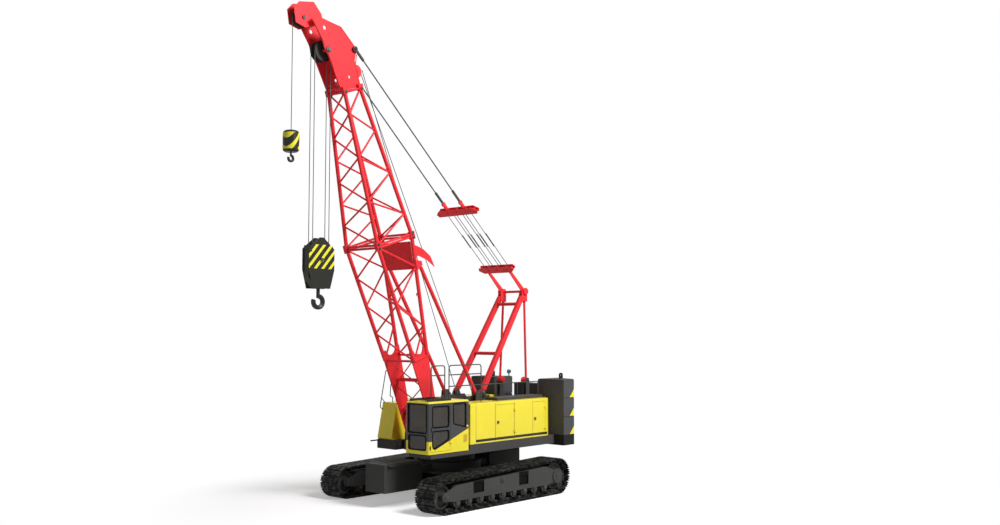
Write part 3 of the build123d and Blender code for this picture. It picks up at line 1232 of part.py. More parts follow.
def aux_ball():
    """The weight above the small hook: a drum with rounded ends, turned from one profile."""
    low, high = AUX_BALL_TOP - AUX_BALL_HEIGHT, AUX_BALL_TOP
    r, c = AUX_BALL_RADIUS, AUX_BALL_CORNER
    flat = r - c
    slant = c * cos(radians(45))
    bottom = ThreePointArc((flat, 0, low), (flat + slant, 0, low + c - slant), (r, 0, low + c))
    top = ThreePointArc((r, 0, high - c), (flat + slant, 0, high - c + slant), (flat, 0, high))
    sides = [Line((0, 0, low), (flat, 0, low)), Line((r, 0, low + c), (r, 0, high - c))]
    sides += [Line((flat, 0, high), (0, 0, high)), Line((0, 0, high), (0, 0, low))]
    return Pos(AUX_LINE_X, 0, 0) * revolve(make_face(sides + [bottom, top]), Axis.Z)


def aux_line():
    """The single line beside its sheave."""
    return rod((AUX_LINE_X, 0, AUX_BALL_TOP), (AUX_LINE_X, 0, AUX_Z), ROPE_RADIUS)


def build():
    """Builds and writes every piece."""
    os.makedirs("parts", exist_ok=True)
    belt = track()
    save("track_left", Pos(0, TRACK_Y, 0) * belt)
    save("track_right", Pos(0, -TRACK_Y, 0) * belt)
    frame = side_frame()
    save("side_frame_left", Pos(0, TRACK_Y, 0) * frame)
    save("side_frame_right", Pos(0, -TRACK_Y, 0) * mirror(frame, about=Plane.XZ))
    rear, front, r1, r2 = loop_wheels(BELT + SEAT_GAP)
    save_apart("sprockets", both_sides(Pos(rear[0], TRACK_Y, rear[1]) * wheel(r1, 150)))
    save_apart("idlers", both_sides(Pos(front[0], TRACK_Y, front[1]) * wheel(r2, 110)))
    reach = FRAME_WIDTH / 2 - FRAME_PLATE
    rollers = []
    for x in roller_places():
        rollers += both_sides(cross_rod(x, ROLLER_Z, TRACK_Y - reach, TRACK_Y + reach, ROLLER_RADIUS))
    save_apart("track_rollers", rollers)
    save("car_body", car_body())
    save_apart("car_weights", car_weights())
    save("slew_ring", slew_ring())

    save("deck_frame", deck())
    save_apart("winch_frame", winch_frame())
    save_apart("winch_drums", [winch(x, WINCH_Z, barrel) for x, barrel in WINCHES])

    for name, panel in cab_panels().items():
        save(name, panel)
    glass_depth = (CAB_WALL - GLASS) / 2
    save_apart("cab_glass", cab_windows(glass_depth, glass_depth + GLASS))
    save("cab_door", cab_door())
    save_apart("cab_door_glass", door_windows(glass_depth, glass_depth + GLASS))
    save("seat", seat())
    save_apart("cab_fittings", [seat_base(), console()])

    left = house()
    save("house_left", left)
    save("house_right", mirror(left, about=Plane.XZ))
    for i, (x0, x1) in enumerate(HOUSE_DOORS):
        door = house_door(x0, x1)
        save("house_door_left_" + str(i + 1), door)
        save("house_door_right_" + str(i + 1), mirror(door, about=Plane.XZ))
    save_apart("roof_rails", [roof_rails(), front_hoop()])
    save("front_cabinet", cabinet())
    save("engine", engine())

    save("tail_base", tail_base())
    save_apart("tail_slabs", [s for i in range(3) for s in both_sides(tail_slab(i))] + [tail_box()])
    save_apart("tail_lugs", both_sides(tail_lug()))

    save("gantry", gantry())
    save_apart("gantry_links", both_sides(gantry_link()))
    save_apart("gantry_posts", both_sides(gantry_post()))
    save("lower_spreader", lower_spreader())
    save_apart("lower_lines", lines(LOWER_SPREADER_AT, LOWER_SPREADER_AT + LINE_REACH, LINE_OFFSET))
    save("upper_spreader", upper_spreader())
    save_apart("upper_lines", lines(UPPER_SPREADER_AT - LINE_REACH, UPPER_SPREADER_AT, 0))
    save_apart("pendants", [pendant(-1), pendant(1)])
    save_apart("backstops", [backstop(-1), backstop(1)])

    for side, name in ((1, "left"), (-1, "right")):
        save("boom_foot_" + name, boom_foot_side(side))
        save("boom_top_" + name, boom_top_side(side))
    save_apart("boom_foot_lacing", boom_foot_lacing())
    save_apart("boom_top_lacing", boom_top_lacing())
    save_apart("boom_head", boom_head())
    save("aux_nose", aux_nose())
    save_apart("head_sheaves", [main_sheaves(), aux_sheave(), guard_sheave()])

    save_apart("main_falls", falls())
    save("main_block", main_block())
    save("main_hook", hook(MAIN_X, MAIN_BLOCK_NECK - SEAT_GAP, MAIN_HOOK_BOTTOM, MAIN_HOOK_BOWL, 120))
    save("aux_line", aux_line())
    save("aux_ball", aux_ball())
    low = AUX_BALL_TOP - AUX_BALL_HEIGHT
    save("aux_hook", hook(AUX_LINE_X, low - SEAT_GAP, AUX_HOOK_BOTTOM, AUX_HOOK_BOWL, 60))


if __name__ == "__main__":
    build()
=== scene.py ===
# %% [markdown]
# # A lattice boom crane, dressed for its portrait
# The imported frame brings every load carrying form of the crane: tracks, deck, cab, houses, boom
# and stays. This lesson gives those forms their finishes, adds the ropes and the small trim, and
# sets up a camera and a plain studio. Each step says what the real thing is and how it is made.

# %% Load the frame
import json
import math

import bmesh
import bpy
import numpy as np
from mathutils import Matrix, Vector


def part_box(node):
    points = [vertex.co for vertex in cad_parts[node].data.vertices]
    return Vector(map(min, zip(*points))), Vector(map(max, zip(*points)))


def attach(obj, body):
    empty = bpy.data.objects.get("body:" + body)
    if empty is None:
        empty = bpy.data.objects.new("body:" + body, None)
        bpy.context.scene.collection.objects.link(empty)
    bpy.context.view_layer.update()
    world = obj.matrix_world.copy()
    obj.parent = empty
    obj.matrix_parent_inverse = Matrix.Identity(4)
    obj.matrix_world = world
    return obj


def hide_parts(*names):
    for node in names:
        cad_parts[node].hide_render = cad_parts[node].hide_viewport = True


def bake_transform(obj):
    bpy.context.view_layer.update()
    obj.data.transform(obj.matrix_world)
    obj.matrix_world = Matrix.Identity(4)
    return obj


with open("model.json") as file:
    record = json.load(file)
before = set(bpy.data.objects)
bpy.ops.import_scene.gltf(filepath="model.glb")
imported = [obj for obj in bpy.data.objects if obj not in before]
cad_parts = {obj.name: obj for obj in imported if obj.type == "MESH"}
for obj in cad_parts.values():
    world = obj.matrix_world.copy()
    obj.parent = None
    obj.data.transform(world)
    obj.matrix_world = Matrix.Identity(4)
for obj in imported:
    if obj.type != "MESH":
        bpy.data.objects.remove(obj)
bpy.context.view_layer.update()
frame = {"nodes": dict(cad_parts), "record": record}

# %% [markdown]
# ## Camera
# The camera stood about 32 m away and 5 m above the ground, and looked slightly up. It is placed
# by its position and by two angles. The crane turns about an upright line one metre behind the
# frame's origin. Measures from that line move into the frame by SHIFT_X.

# %% Camera
SHIFT_X = -1.0
CAMERA_AT = (22.541 + SHIFT_X, 22.354, 5.111)
CAMERA_YAW = math.radians(-138.21)
CAMERA_PITCH = math.radians(3.875)
FOCAL_PIXELS = 1003.7
IMAGE_WIDTH = 1000

camera_data = bpy.data.cameras.new("camera")
camera_data.sensor_width = 36.0
camera_data.lens = 36.0 * FOCAL_PIXELS / IMAGE_WIDTH
camera_data.clip_end = 500.0
camera = bpy.data.objects.new("camera", camera_data)
camera.location = CAMERA_AT
camera.rotation_euler = (math.pi / 2 + CAMERA_PITCH, 0.0, CAMERA_YAW - math.pi / 2)
bpy.context.scene.collection.objects.link(camera)
bpy.context.scene.camera = camera
print("lens", round(camera_data.lens, 2), "mm")

# %% [markdown]
# ## Shader maths as Python
# A material is a small sum over noise, height and masks. Writing it as an expression is shorter
# and safer than placing nodes by hand, so one class wraps a socket and its operators add the
# Math nodes. Every other node comes from one method that sets the node up before its sockets.

# %% Socket wrapper
class Value:
    """A socket of a node tree whose Python operators add Math nodes."""

    def __init__(self, tree, socket):
        self.tree = tree
        self.socket = socket

    def node(self, kind, settings=(), out=0, **inputs):
        """Adds a node: its settings first, then the values or links of its named sockets."""
        n = self.tree.nodes.new(kind)
        for name, value in dict(settings).items():
            setattr(n, name, value)
        plug(n, **inputs)
        return Value(self.tree, n.outputs[out])

    def math(self, operation, *others):
        values = {"i" + str(i): v for i, v in enumerate((self,) + others)}
        return self.node("ShaderNodeMath", {"operation": operation}, **values)

    def __add__(self, other):
        return self.math("ADD", other)

    def __radd__(self, other):
        return self.math("ADD", other)

    def __sub__(self, other):
        return self.math("SUBTRACT", other)

    def __rsub__(self, other):
        return self.node("ShaderNodeMath", {"operation": "SUBTRACT"}, i0=other, i1=self)

    def __mul__(self, other):
        return self.math("MULTIPLY", other)

    def __rmul__(self, other):
        return self.math("MULTIPLY", other)

    def __truediv__(self, other):
        return self.math("DIVIDE", other)

    def above(self, edge, softness):
        """0 below the edge, 1 above it, with a soft step between."""
        return self.node("ShaderNodeMapRange", {"interpolation_type": "SMOOTHSTEP"},
                         Value=self, From_Min=edge - softness, From_Max=edge + softness)

    def mix(self, low, high):
        """The colour that goes from low to high as this value goes from 0 to 1."""
        return self.node("ShaderNodeMix", {"data_type": "RGBA"}, out=2, i0=self, i6=low, i7=high)

    def noise(self, scale, detail):
        """Noise over a place."""
        return self.node("ShaderNodeTexNoise", Vector=self, Scale=scale, Detail=detail)

    def bands(self, direction, scale, **more):
        """Even bands over a place, across one direction."""
        return self.node("ShaderNodeTexWave", {"bands_direction": direction},
                         Vector=self, Scale=scale, **more)

    def bump(self, strength, depth):
        """The tilt of a surface whose height is this value."""
        return self.node("ShaderNodeBump", Strength=strength, Distance=depth, Height=self)


def plug(node, **inputs):
    """Links values to a node's named sockets or sets their own numbers. The name i0 is the first socket."""
    for name, value in inputs.items():
        key = int(name[1:]) if name[0] == "i" and name[1:].isdigit() else name.replace("_", " ")
        if isinstance(value, Value):
            value.tree.links.new(value.socket, node.inputs[key])
        else:
            node.inputs[key].default_value = value


def linear(r, g, b):
    """A screen colour of 0 to 255 as the linear colour that a shader needs."""
    def channel(c):
        c = c / 255.0
        return c / 12.92 if c <= 0.04045 else ((c + 0.055) / 1.055) ** 2.4
    return (channel(r), channel(g), channel(b), 1.0)


def darker(colour, share):
    """A share of a colour."""
    return tuple(share * c for c in colour[:3]) + (1.0,)


def new_material(name):
    """A new material, its Principled shader and the place that its tree works from."""
    material = bpy.data.materials.new(name)
    material.use_nodes = True
    tree = material.node_tree
    shader = next(n for n in tree.nodes if n.type == "BSDF_PRINCIPLED")
    coordinates = tree.nodes.new("ShaderNodeTexCoord")
    return material, shader, Value(tree, coordinates.outputs["Object"])


# %% [markdown]
# ## Paint
# Painted steel is never one flat colour. The paint film has a faint orange peel, and it takes dust
# on faces that look up and in broad patches, where it also dulls. One function makes every paint
# here: a colour, how glossy it is, how much dust it has caught, and the marks that are painted on
# it, each a mask worked out from the place and a colour.

# %% Painted steel
DUST = linear(140, 138, 134)


def split(place):
    """The three coordinates of a place."""
    return [place.node("ShaderNodeSeparateXYZ", out=i, Vector=place) for i in range(3)]


def between(value, low, high, soft=0.002):
    """1 where a value lies between two edges, else 0."""
    return value.above(low, soft) * (1.0 - value.above(high, soft))


def paint(name, colour, roughness=0.35, coat=0.3, dust=0.15, peel=0.15, marks=None, specular=0.3):
    """A colour with a slow mottle and its marks, dust where the face looks up, and a fine peel."""
    material, shader, place = new_material(name)
    slow, fine = place.noise(0.9, 4.0), place.noise(26.0, 3.0)
    geometry = place.tree.nodes.new("ShaderNodeNewGeometry")
    upward = split(Value(place.tree, geometry.outputs["Normal"]))[2]
    lying = upward.above(0.75, 0.2) * fine.above(0.45, 0.25) * dust
    dusty = lying + slow.above(0.62, 0.2) * (0.35 * dust)
    base = slow.above(0.5, 0.3).mix(darker(colour, 0.9), colour)
    for mask, mark_colour in (marks(place) if marks else ()):
        base = mask.mix(base, mark_colour)
    plug(shader, Base_Color=dusty.mix(base, DUST), Roughness=dusty * 0.35 + (fine * 0.08 + roughness),
         Specular_IOR_Level=specular, Coat_Weight=coat, Coat_Roughness=0.12,
         Normal=place.noise(110.0, 2.0).bump(peel, 0.002))
    return material


# %% [markdown]
# ## What is painted on the panels
# The houses have thin seams between their sheets, drawn as painted shade in a darker ochre, and a black
# band along the sill. The cab is charcoal round its windows, down to a slanting line. The tail slabs carry
# yellow corners that
# warn of the swing. All are masks of position, so they stay sharp at any distance.

# %% Marks
BOOM_ANGLE = math.radians(72.2)
FOOT_X, FOOT_Z = 1.05 + SHIFT_X, 2.0
INK = linear(20, 20, 21)
CHARCOAL = linear(70, 70, 72)
YELLOW = linear(255, 236, 60)
SEAM_SHADE_OCHRE = linear(150, 118, 24)
RED = linear(248, 54, 62)
HOUSE_SEAMS, SEAM_HALF = (0.449, -0.404, -1.289, -2.19), 0.008
BAND_LOW, BAND_HIGH, BAND_REAR, BAND_FRONT = 1.772, 1.852, -3.03, 0.447
SIDE_FACE = 1.645
LATCH_LOW, LATCH_HIGH, LATCH_FACE = 2.255, 2.365, 1.6525
SLANT_REAR, SLANT_TOP, SLANT_FALL, SILL_TOP = 0.78, 2.243, 0.385, 1.68
STEP_START, STEP_RISE, STEP_TOP = 1.43, 2.6, 1.945
GUARD_LOW = 3.071
TAIL_SIDE, TAIL_CORNER_X = 2.06, -3.81
CORNER_WIDTH, CORNER_HEIGHT, CORNER_LOWS = 0.23, 0.26, (1.745, 2.335, 2.935)
TRACK_MIDDLE_Y, POCKET_FACE = 2.1, 0.29
POCKETS, POCKET_LOW, POCKET_HIGH = ((-1.06, -0.62), (0.93, 1.38)), 0.47, 0.86


def house_marks(place):
    """Painted shade in the seams, the black sill band and the dark latches of a house side."""
    x, y, z = split(place)
    out = y.math("ABSOLUTE")
    side = out.above(SIDE_FACE, 0.001)
    seams = [between(x, s + SHIFT_X - SEAM_HALF, s + SHIFT_X + SEAM_HALF, 0.001) for s in HOUSE_SEAMS]
    seam = sum(seams[1:], seams[0])
    band = between(z, BAND_LOW, BAND_HIGH) * between(x, BAND_REAR + SHIFT_X, BAND_FRONT + SHIFT_X)
    latch = out.above(LATCH_FACE, 0.0005) * between(z, LATCH_LOW, LATCH_HIGH, 0.001)
    # The seams are painted shade: a darker ochre for the shade in the gaps between the sheets.
    return [(seam * side * 0.9, SEAM_SHADE_OCHRE), (band * side, INK), (latch, CHARCOAL)]


def cab_marks(place):
    """Charcoal above a line that falls towards the front and steps up at the front corner."""
    x, _, z = split(place)
    forward = x - (SLANT_REAR + SHIFT_X)
    slant = SLANT_TOP - forward * SLANT_FALL
    step = SILL_TOP + (forward - STEP_START) * STEP_RISE
    edge = slant.math("MAXIMUM", SILL_TOP).math("MAXIMUM", step.math("MINIMUM", STEP_TOP))
    return [((z - edge).above(0.0, 0.002), CHARCOAL)]


def guard_marks(place):
    """The bars over the roof are black."""
    return [(split(place)[2].above(GUARD_LOW, 0.001), INK)]


def tail_marks(place):
    """Three right-angled corners: the share along the slab plus the share up it is under one."""
    x, y, z = split(place)
    inward = (TAIL_SIDE - y.math("ABSOLUTE")) / CORNER_WIDTH
    along = ((x - (SHIFT_X + TAIL_CORNER_X)) / CORNER_WIDTH).math("MAXIMUM", inward)
    corners = []
    for low in CORNER_LOWS:
        rise = (z - low) / CORNER_HEIGHT
        corners.append(rise.above(0.0, 0.01) * (1.0 - (along + rise).above(1.0, 0.01)))
    return [(corners[0] + corners[1] + corners[2], YELLOW)]


def frame_marks(place):
    """Painted shade: the pockets of the side frames and the face just above them are painted black."""
    x, y, z = split(place)
    off = (y.math("ABSOLUTE") - TRACK_MIDDLE_Y).math("ABSOLUTE")
    rear, front = (between(x, start + SHIFT_X, end + SHIFT_X) for start, end in POCKETS)
    pocket = (rear + front) * between(z, POCKET_LOW, POCKET_HIGH)
    return [(pocket * off.above(POCKET_FACE, 0.002), linear(14, 14, 14))]


def sheave_marks(place):
    """The guide sheave behind the boom's middle line is red: the distance to the boom's back decides."""
    x, _, z = split(place)
    back = (z - FOOT_Z) * math.cos(BOOM_ANGLE) - (x - FOOT_X) * math.sin(BOOM_ANGLE)
    return [(back.above(0.1, 0.01), RED)]


DULL = {"roughness": 0.5, "coat": 0.0, "specular": 0.04}
PANEL = {"roughness": 0.3, "coat": 0.15, "dust": 0.03}
paints = {
    "boom_red": paint("boom_red", RED, roughness=0.4, coat=0.08, dust=0.02, peel=0.04, specular=0.15),
    "machine_yellow": paint("machine_yellow", YELLOW, roughness=0.32, coat=0.15, dust=0.03),
    "deck_grey": paint("deck_grey", linear(82, 81, 80), dust=0.04, **DULL),
    # The frame grey carries painted shade: black in and just above the pockets of the side frames.
    "frame_grey": paint("frame_grey", linear(76, 76, 75), dust=0.03, marks=frame_marks, **DULL),
    "base_black": paint("base_black", linear(44, 44, 44), dust=0.03, **DULL),
    "hook_black": paint("hook_black", linear(36, 36, 36), roughness=0.4, coat=0.05, dust=0.03,
                        specular=0.2),
}
house_paint = paint("house_paint", YELLOW, marks=house_marks, **PANEL)
cab_paint = paint("cab_paint", YELLOW, roughness=0.3, coat=0.1, dust=0.02, marks=cab_marks, specular=0.2)
roof_paint = paint("roof_paint", YELLOW, marks=guard_marks, **PANEL)
tail_paint = paint("tail_paint", linear(86, 86, 88), dust=0.03, marks=tail_marks, **DULL)
# The main sheaves are red-painted; their dark red-grey here is painted shade inside the head, and only the
# guide sheave behind keeps its red.
shaded_sheave_paint = paint("shaded_sheave_paint", linear(46, 40, 40), roughness=0.5, coat=0.0, marks=sheave_marks)
print("paints:", ", ".join(sorted(paints)))

# %% Assign the finishes to the frame's nodes
slot_of = {s["node"]: s["material_slot"] for s in frame["record"]["subparts"]}


def finish_node(node, material):
    """Gives one frame node a single material."""
    mesh = frame["nodes"][node].data
    mesh.materials.clear()
    mesh.materials.append(material)


for node, slot in slot_of.items():
    if slot in paints:
        finish_node(node, paints[slot])
    if node.startswith("house_"):
        finish_node(node, house_paint)
for node in ("cab_left", "cab_right", "cab_front", "cab_rear", "cab_door"):
    finish_node(node, cab_paint)
finish_node("cab_roof", roof_paint)
finish_node("tail_slabs", tail_paint)
finish_node("head_sheaves", shaded_sheave_paint)
print("finishes for", len(slot_of), "nodes")

# %% [markdown]
# ## Bare and worn metal
# Track shoes are cast steel that scrapes over gravel: near black where soil sits in the corners,
# brighter on the ribs. Ropes and drums are greased steel wire. Noise drives how bright and how
# rough each spot is, so that the light breaks up as it does on a used machine.

# %% Cast shoes, wire rope and glass
def cast_steel(name, dark, bright, roughness=0.55):
    """A dark cast surface that a coarse noise rubs brighter in spots."""
    material, shader, place = new_material(name)
    grain = place.noise(90.0, 4.0)
    rubbed = place.noise(7.0, 6.0).above(0.55, 0.12) * grain.above(0.45, 0.3)
    plug(shader, Base_Color=rubbed.mix(dark, bright), Roughness=roughness - rubbed * 0.15,
         Specular_IOR_Level=0.08, Normal=grain.bump(0.35, 0.004))
    return material


def wire_rope(name, colour):
    """Steel wire rope: fine slanting strands as bands of height and shade."""
    material, shader, place = new_material(name)
    strands = place.bands("DIAGONAL", 28.0, Distortion=0.6, Detail=1.0)
    plug(shader, Base_Color=strands.mix(darker(colour, 0.85), colour), Metallic=0.1, Roughness=0.45,
         Normal=strands.bump(0.15, 0.002))
    return material


def tinted_glass(name):
    """Dark cab glass that lets about a third of the light through, with a faint uneven film of dust."""
    material, shader, place = new_material(name)
    film = place.noise(2.2, 4.0)
    plug(shader, Base_Color=film.mix(linear(56, 51, 46), linear(80, 74, 68)), Alpha=film * 0.12 + 0.62,
         Roughness=film * 0.06 + 0.03, IOR=1.45)
    return material


def seat_cloth(name):
    """Woven cloth as two crossed waves of height over a soft dark colour."""
    material, shader, place = new_material(name)
    weave = place.bands("X", 120.0) * place.bands("Y", 120.0)
    plug(shader, Base_Color=weave.mix(linear(34, 34, 37), linear(58, 58, 62)), Roughness=0.85,
         Sheen_Weight=0.3, Normal=weave.bump(0.4, 0.001))
    return material


def lens(name, colour, glow):
    """A coloured lens with fine ribs, which glows a little."""
    material, shader, place = new_material(name)
    ribs = place.bands("Z", 60.0)
    plug(shader, Base_Color=ribs.mix(darker(colour, 0.6), colour), Roughness=ribs * 0.1 + 0.08,
         Emission_Color=colour, Emission_Strength=glow)
    return material


steels = {
    "tracks_black": cast_steel("tracks_black", linear(22, 22, 22), linear(96, 96, 95)),
    "worn_steel": cast_steel("worn_steel", linear(70, 70, 70), linear(140, 139, 136), roughness=0.4),
    "rubber": paint("rubber", linear(14, 14, 15), roughness=0.6, coat=0.0, dust=0.02, specular=0.03),
    "lamp_amber": lens("lamp_amber", linear(230, 190, 110), 0.1),
    "lamp_teal": lens("lamp_teal", linear(70, 150, 150), 0.2),
    "rope_steel": wire_rope("rope_steel", linear(72, 72, 74)),
    "window_glass": tinted_glass("window_glass"),
    "seat_cloth": seat_cloth("seat_cloth"),
}
for node, slot in slot_of.items():
    if slot in steels and node != "head_sheaves":
        finish_node(node, steels[slot])
print("metals, rubber, glass and cloth:", ", ".join(steels))

# %% [markdown]
# ## Warning stripes
# The hook block and the ball carry slanting bands, so that nobody on the ground misses them. The
# bands are worked out from the place itself: a slanting sum of the coordinates, cut a little
# past half of its period. On a flat side the sum is even along a band, so its edges stay straight.

# %% Striped hook paint
BAND_START, BAND_END = 0.58, 0.985


def striped_paint(name, dark, bright, period, slope, low, high, face=-1.0):
    """Bands where (x + slope z + 0.35 y) modulo the period is in its upper part, within bounds."""
    material, shader, place = new_material(name)
    x, y, z = split(place)
    wave = ((x + z * slope + y * 0.35) / period).math("FRACT")
    band = wave.above(BAND_START, 0.01) * wave.math("LESS_THAN", BAND_END)
    inside = between(z, low, high, 0.004) * y.math("ABSOLUTE").above(face, 0.002)
    plug(shader, Base_Color=(band * inside).mix(dark, bright), Roughness=place.noise(14.0, 5.0) * 0.2 + 0.3,
         Specular_IOR_Level=0.2)
    return material


block_low, block_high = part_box("main_block")
ball_low, ball_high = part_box("aux_ball")
HOOK_YELLOW = linear(240, 232, 60)
HOOK_BLACK = linear(38, 38, 34)
block_stripes = striped_paint("block_stripes", HOOK_BLACK, HOOK_YELLOW, 0.25, 0.85,
                              block_low.z + 0.55, block_high.z - 0.2, 0.15)
ball_stripes = striped_paint("ball_stripes", HOOK_BLACK, HOOK_YELLOW, 0.27, 0.7,
                             ball_low.z + 0.07, ball_high.z - 0.07)
finish_node("main_block", block_stripes)
finish_node("aux_ball", ball_stripes)
print("stripes on the hook block and the ball")

# %% [markdown]
# ## Shapes from arrays
# Every small piece below comes from one of a few recipes: a pipe along a path, a turned profile, a
# cut plate or a plain brick. Each recipe works on whole arrays of points and returns the points and
# the faces of a closed form, so that many forms can be joined into one mesh.

# %% Shape recipes
def unit(vector):
    """A vector, or rows of vectors, divided by their own length."""
    vector = np.asarray(vector, float)
    return vector / np.linalg.norm(vector, axis=-1, keepdims=True)


def grid_quads(rows, columns, wrap=False):
    """Quads that join each closed ring of a grid to the next, and the last to the first if wrapped."""
    i = np.arange(rows if wrap else rows - 1)[:, None]
    j = np.arange(columns)[None, :]
    k = (j + 1) % columns
    below, above = i * columns, ((i + 1) % rows) * columns
    return np.stack([below + j, below + k, above + k, above + j], -1).reshape(-1, 4).tolist()


def even_turns(count):
    """The angles of equal steps round a full turn."""
    return np.linspace(0.0, 2 * np.pi, count + 1)[:-1]


def square_to(axis):
    """Two directions square to an axis and to each other."""
    side = unit(np.cross(axis, np.eye(3)[np.argmin(np.abs(axis))]))
    return side, np.cross(axis, side)


def rings_to_part(rings):
    """Rings of points joined in turn, with a flat face on the first and on the last ring."""
    rows, columns = rings.shape[:2]
    faces = grid_quads(rows, columns)
    faces.append(list(range(columns))[::-1])
    faces.append(list(range((rows - 1) * columns, rows * columns)))
    return rings.reshape(-1, 3), faces


def pipe(path, radius, sides=8):
    """A circle carried along a path: at each point, radius times cosine and sine of two square vectors."""
    path = np.asarray(path, float)
    runs = unit(np.diff(path, axis=0))
    ahead = unit(np.vstack([runs[:1], runs[:-1] + runs[1:], runs[-1:]]))
    flat = np.linalg.svd(path - path.mean(0), full_matrices=False)[2][-1]
    if len(path) < 3:
        flat = np.cross(ahead[0], np.eye(3)[np.argmin(np.abs(ahead[0]))])
    side = unit(np.cross(ahead, flat))
    up = np.cross(side, ahead)
    turn = even_turns(sides)[None, :, None]
    circle = np.cos(turn) * side[:, None] + np.sin(turn) * up[:, None]
    return rings_to_part(path[:, None] + radius * circle)


def bend(corners, radius=0.08, steps=5):
    """A path of straight runs whose corners are parabolas that start one radius before the corner."""
    corners = np.asarray(corners, float)
    t = np.linspace(0.0, 1.0, steps)[:, None]
    path = [corners[:1]]
    for before, corner, after in zip(corners, corners[1:], corners[2:]):
        first = corner + radius * unit(before - corner)
        last = corner + radius * unit(after - corner)
        path.append((1 - t) ** 2 * first + 2 * t * (1 - t) * corner + t ** 2 * last)
    return np.vstack(path + [corners[-1:]])


def turned(profile, centre, axis, sides=20):
    """A turned form: each row of the profile, a distance along the axis and a radius, swept in a circle."""
    profile = np.asarray(profile, float)
    axis = unit(axis)
    side, up = square_to(axis)
    turn = even_turns(sides)[None, :, None]
    circle = np.cos(turn) * side + np.sin(turn) * up
    centres = np.asarray(centre, float) + profile[:, :1] * axis
    return rings_to_part(centres[:, None] + profile[:, 1][:, None, None] * circle)


def cut_plate(outline, origin, across, up, thickness):
    """A flat outline, in two directions from an origin, pushed out square to both by a thickness."""
    outline = np.asarray(outline, float)
    across, up = np.asarray(across, float), np.asarray(up, float)
    face = np.asarray(origin, float) + outline[:, :1] * across + outline[:, 1:] * up
    return rings_to_part(np.stack([face, face + thickness * np.cross(across, up)]))


def brick(low, high):
    """The box between two corners, as two rings of four points."""
    (x0, y0, z0), (x1, y1, z1) = low, high
    ring = [(x0, y0), (x1, y0), (x1, y1), (x0, y1)]
    return rings_to_part(np.array([[(x, y, z) for x, y in ring] for z in (z0, z1)], float))


def bolt(centre, axis, radius=0.016, height=0.012):
    """A hexagon head with its upper corners turned down."""
    return turned([(0, radius), (0.7 * height, radius), (height, 0.82 * radius)], centre, axis, 6)


def pin_head(centre, axis, radius, height=0.02):
    """The end of a pin: a chamfered disc with a smaller disc on it."""
    profile = [(0, radius), (0.6 * height, radius), (height, 0.86 * radius), (height, 0.42 * radius)]
    profile += [(1.5 * height, 0.4 * radius), (1.5 * height, 0.05 * radius)]
    return turned(profile, centre, axis, 20)


def bolt_circle(centre, axis, ring, count, radius=0.014, height=0.012):
    """Bolts spread evenly on a circle about an axis."""
    axis = unit(axis)
    side, up = square_to(axis)
    turns = even_turns(count)
    centres = np.asarray(centre) + ring * (np.outer(np.cos(turns), side) + np.outer(np.sin(turns), up))
    return [bolt(c, axis, radius, height) for c in centres]


def join(parts):
    """Many forms as one list of points and faces."""
    starts = np.cumsum([0] + [len(points) for points, faces in parts])
    points = np.vstack([points for points, faces in parts])
    faces = [[int(start) + i for i in face] for start, part in zip(starts, parts) for face in part[1]]
    return points, faces


def make_piece(name, parts, material, body):
    """Puts joined forms into a mesh whose faces point outwards, and lets it ride on a body."""
    points, faces = join(parts)
    mesh = bpy.data.meshes.new(name)
    mesh.from_pydata(points.tolist(), [], faces)
    shape = bmesh.new()
    shape.from_mesh(mesh)
    bmesh.ops.recalc_face_normals(shape, faces=shape.faces[:])
    shape.to_mesh(mesh)
    shape.free()
    mesh.shade_smooth()
    mesh.set_sharp_from_angle(angle=math.radians(38))
    mesh.materials.append(material)
    piece = bpy.data.objects.new(name, mesh)
    bpy.context.scene.collection.objects.link(piece)
    if body:
        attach(piece, body)
    print(name, len(mesh.polygons), "faces")
    return piece


def on_boom(s, n, y=0.0):
    """The place that lies s along the boom from its foot pin, n towards its back and y to its left."""
    c, d = math.cos(BOOM_ANGLE), math.sin(BOOM_ANGLE)
    return np.array([FOOT_X + s * c - n * d, y, FOOT_Z + s * d + n * c])


LEFT = np.array([0.0, 1.0, 0.0])
FORWARD = np.array([1.0, 0.0, 0.0])
UP = np.array([0.0, 0.0, 1.0])

# %% [markdown]
# ## Tracks
# A crawler's shoe is a cast block: two rows of treads on its outside, teeth along its ends, and two
# rails with a pin bore inside. One shoe is drawn flat and then set down along the loop at equal
# steps. The loop is the rear wheel, the straight ground run, the front wheel and the sloping top.

# %% Tracks
TRACK_HALF_LENGTH = 3.0
REAR_RADIUS, FRONT_RADIUS = 0.552, 0.480
SHOE_PITCH, SHOE_HALF, SHOE_HALF_WIDTH = 0.212, 0.089, 0.4
REAR_X = SHIFT_X - TRACK_HALF_LENGTH + REAR_RADIUS
FRONT_X = SHIFT_X + TRACK_HALF_LENGTH - FRONT_RADIUS


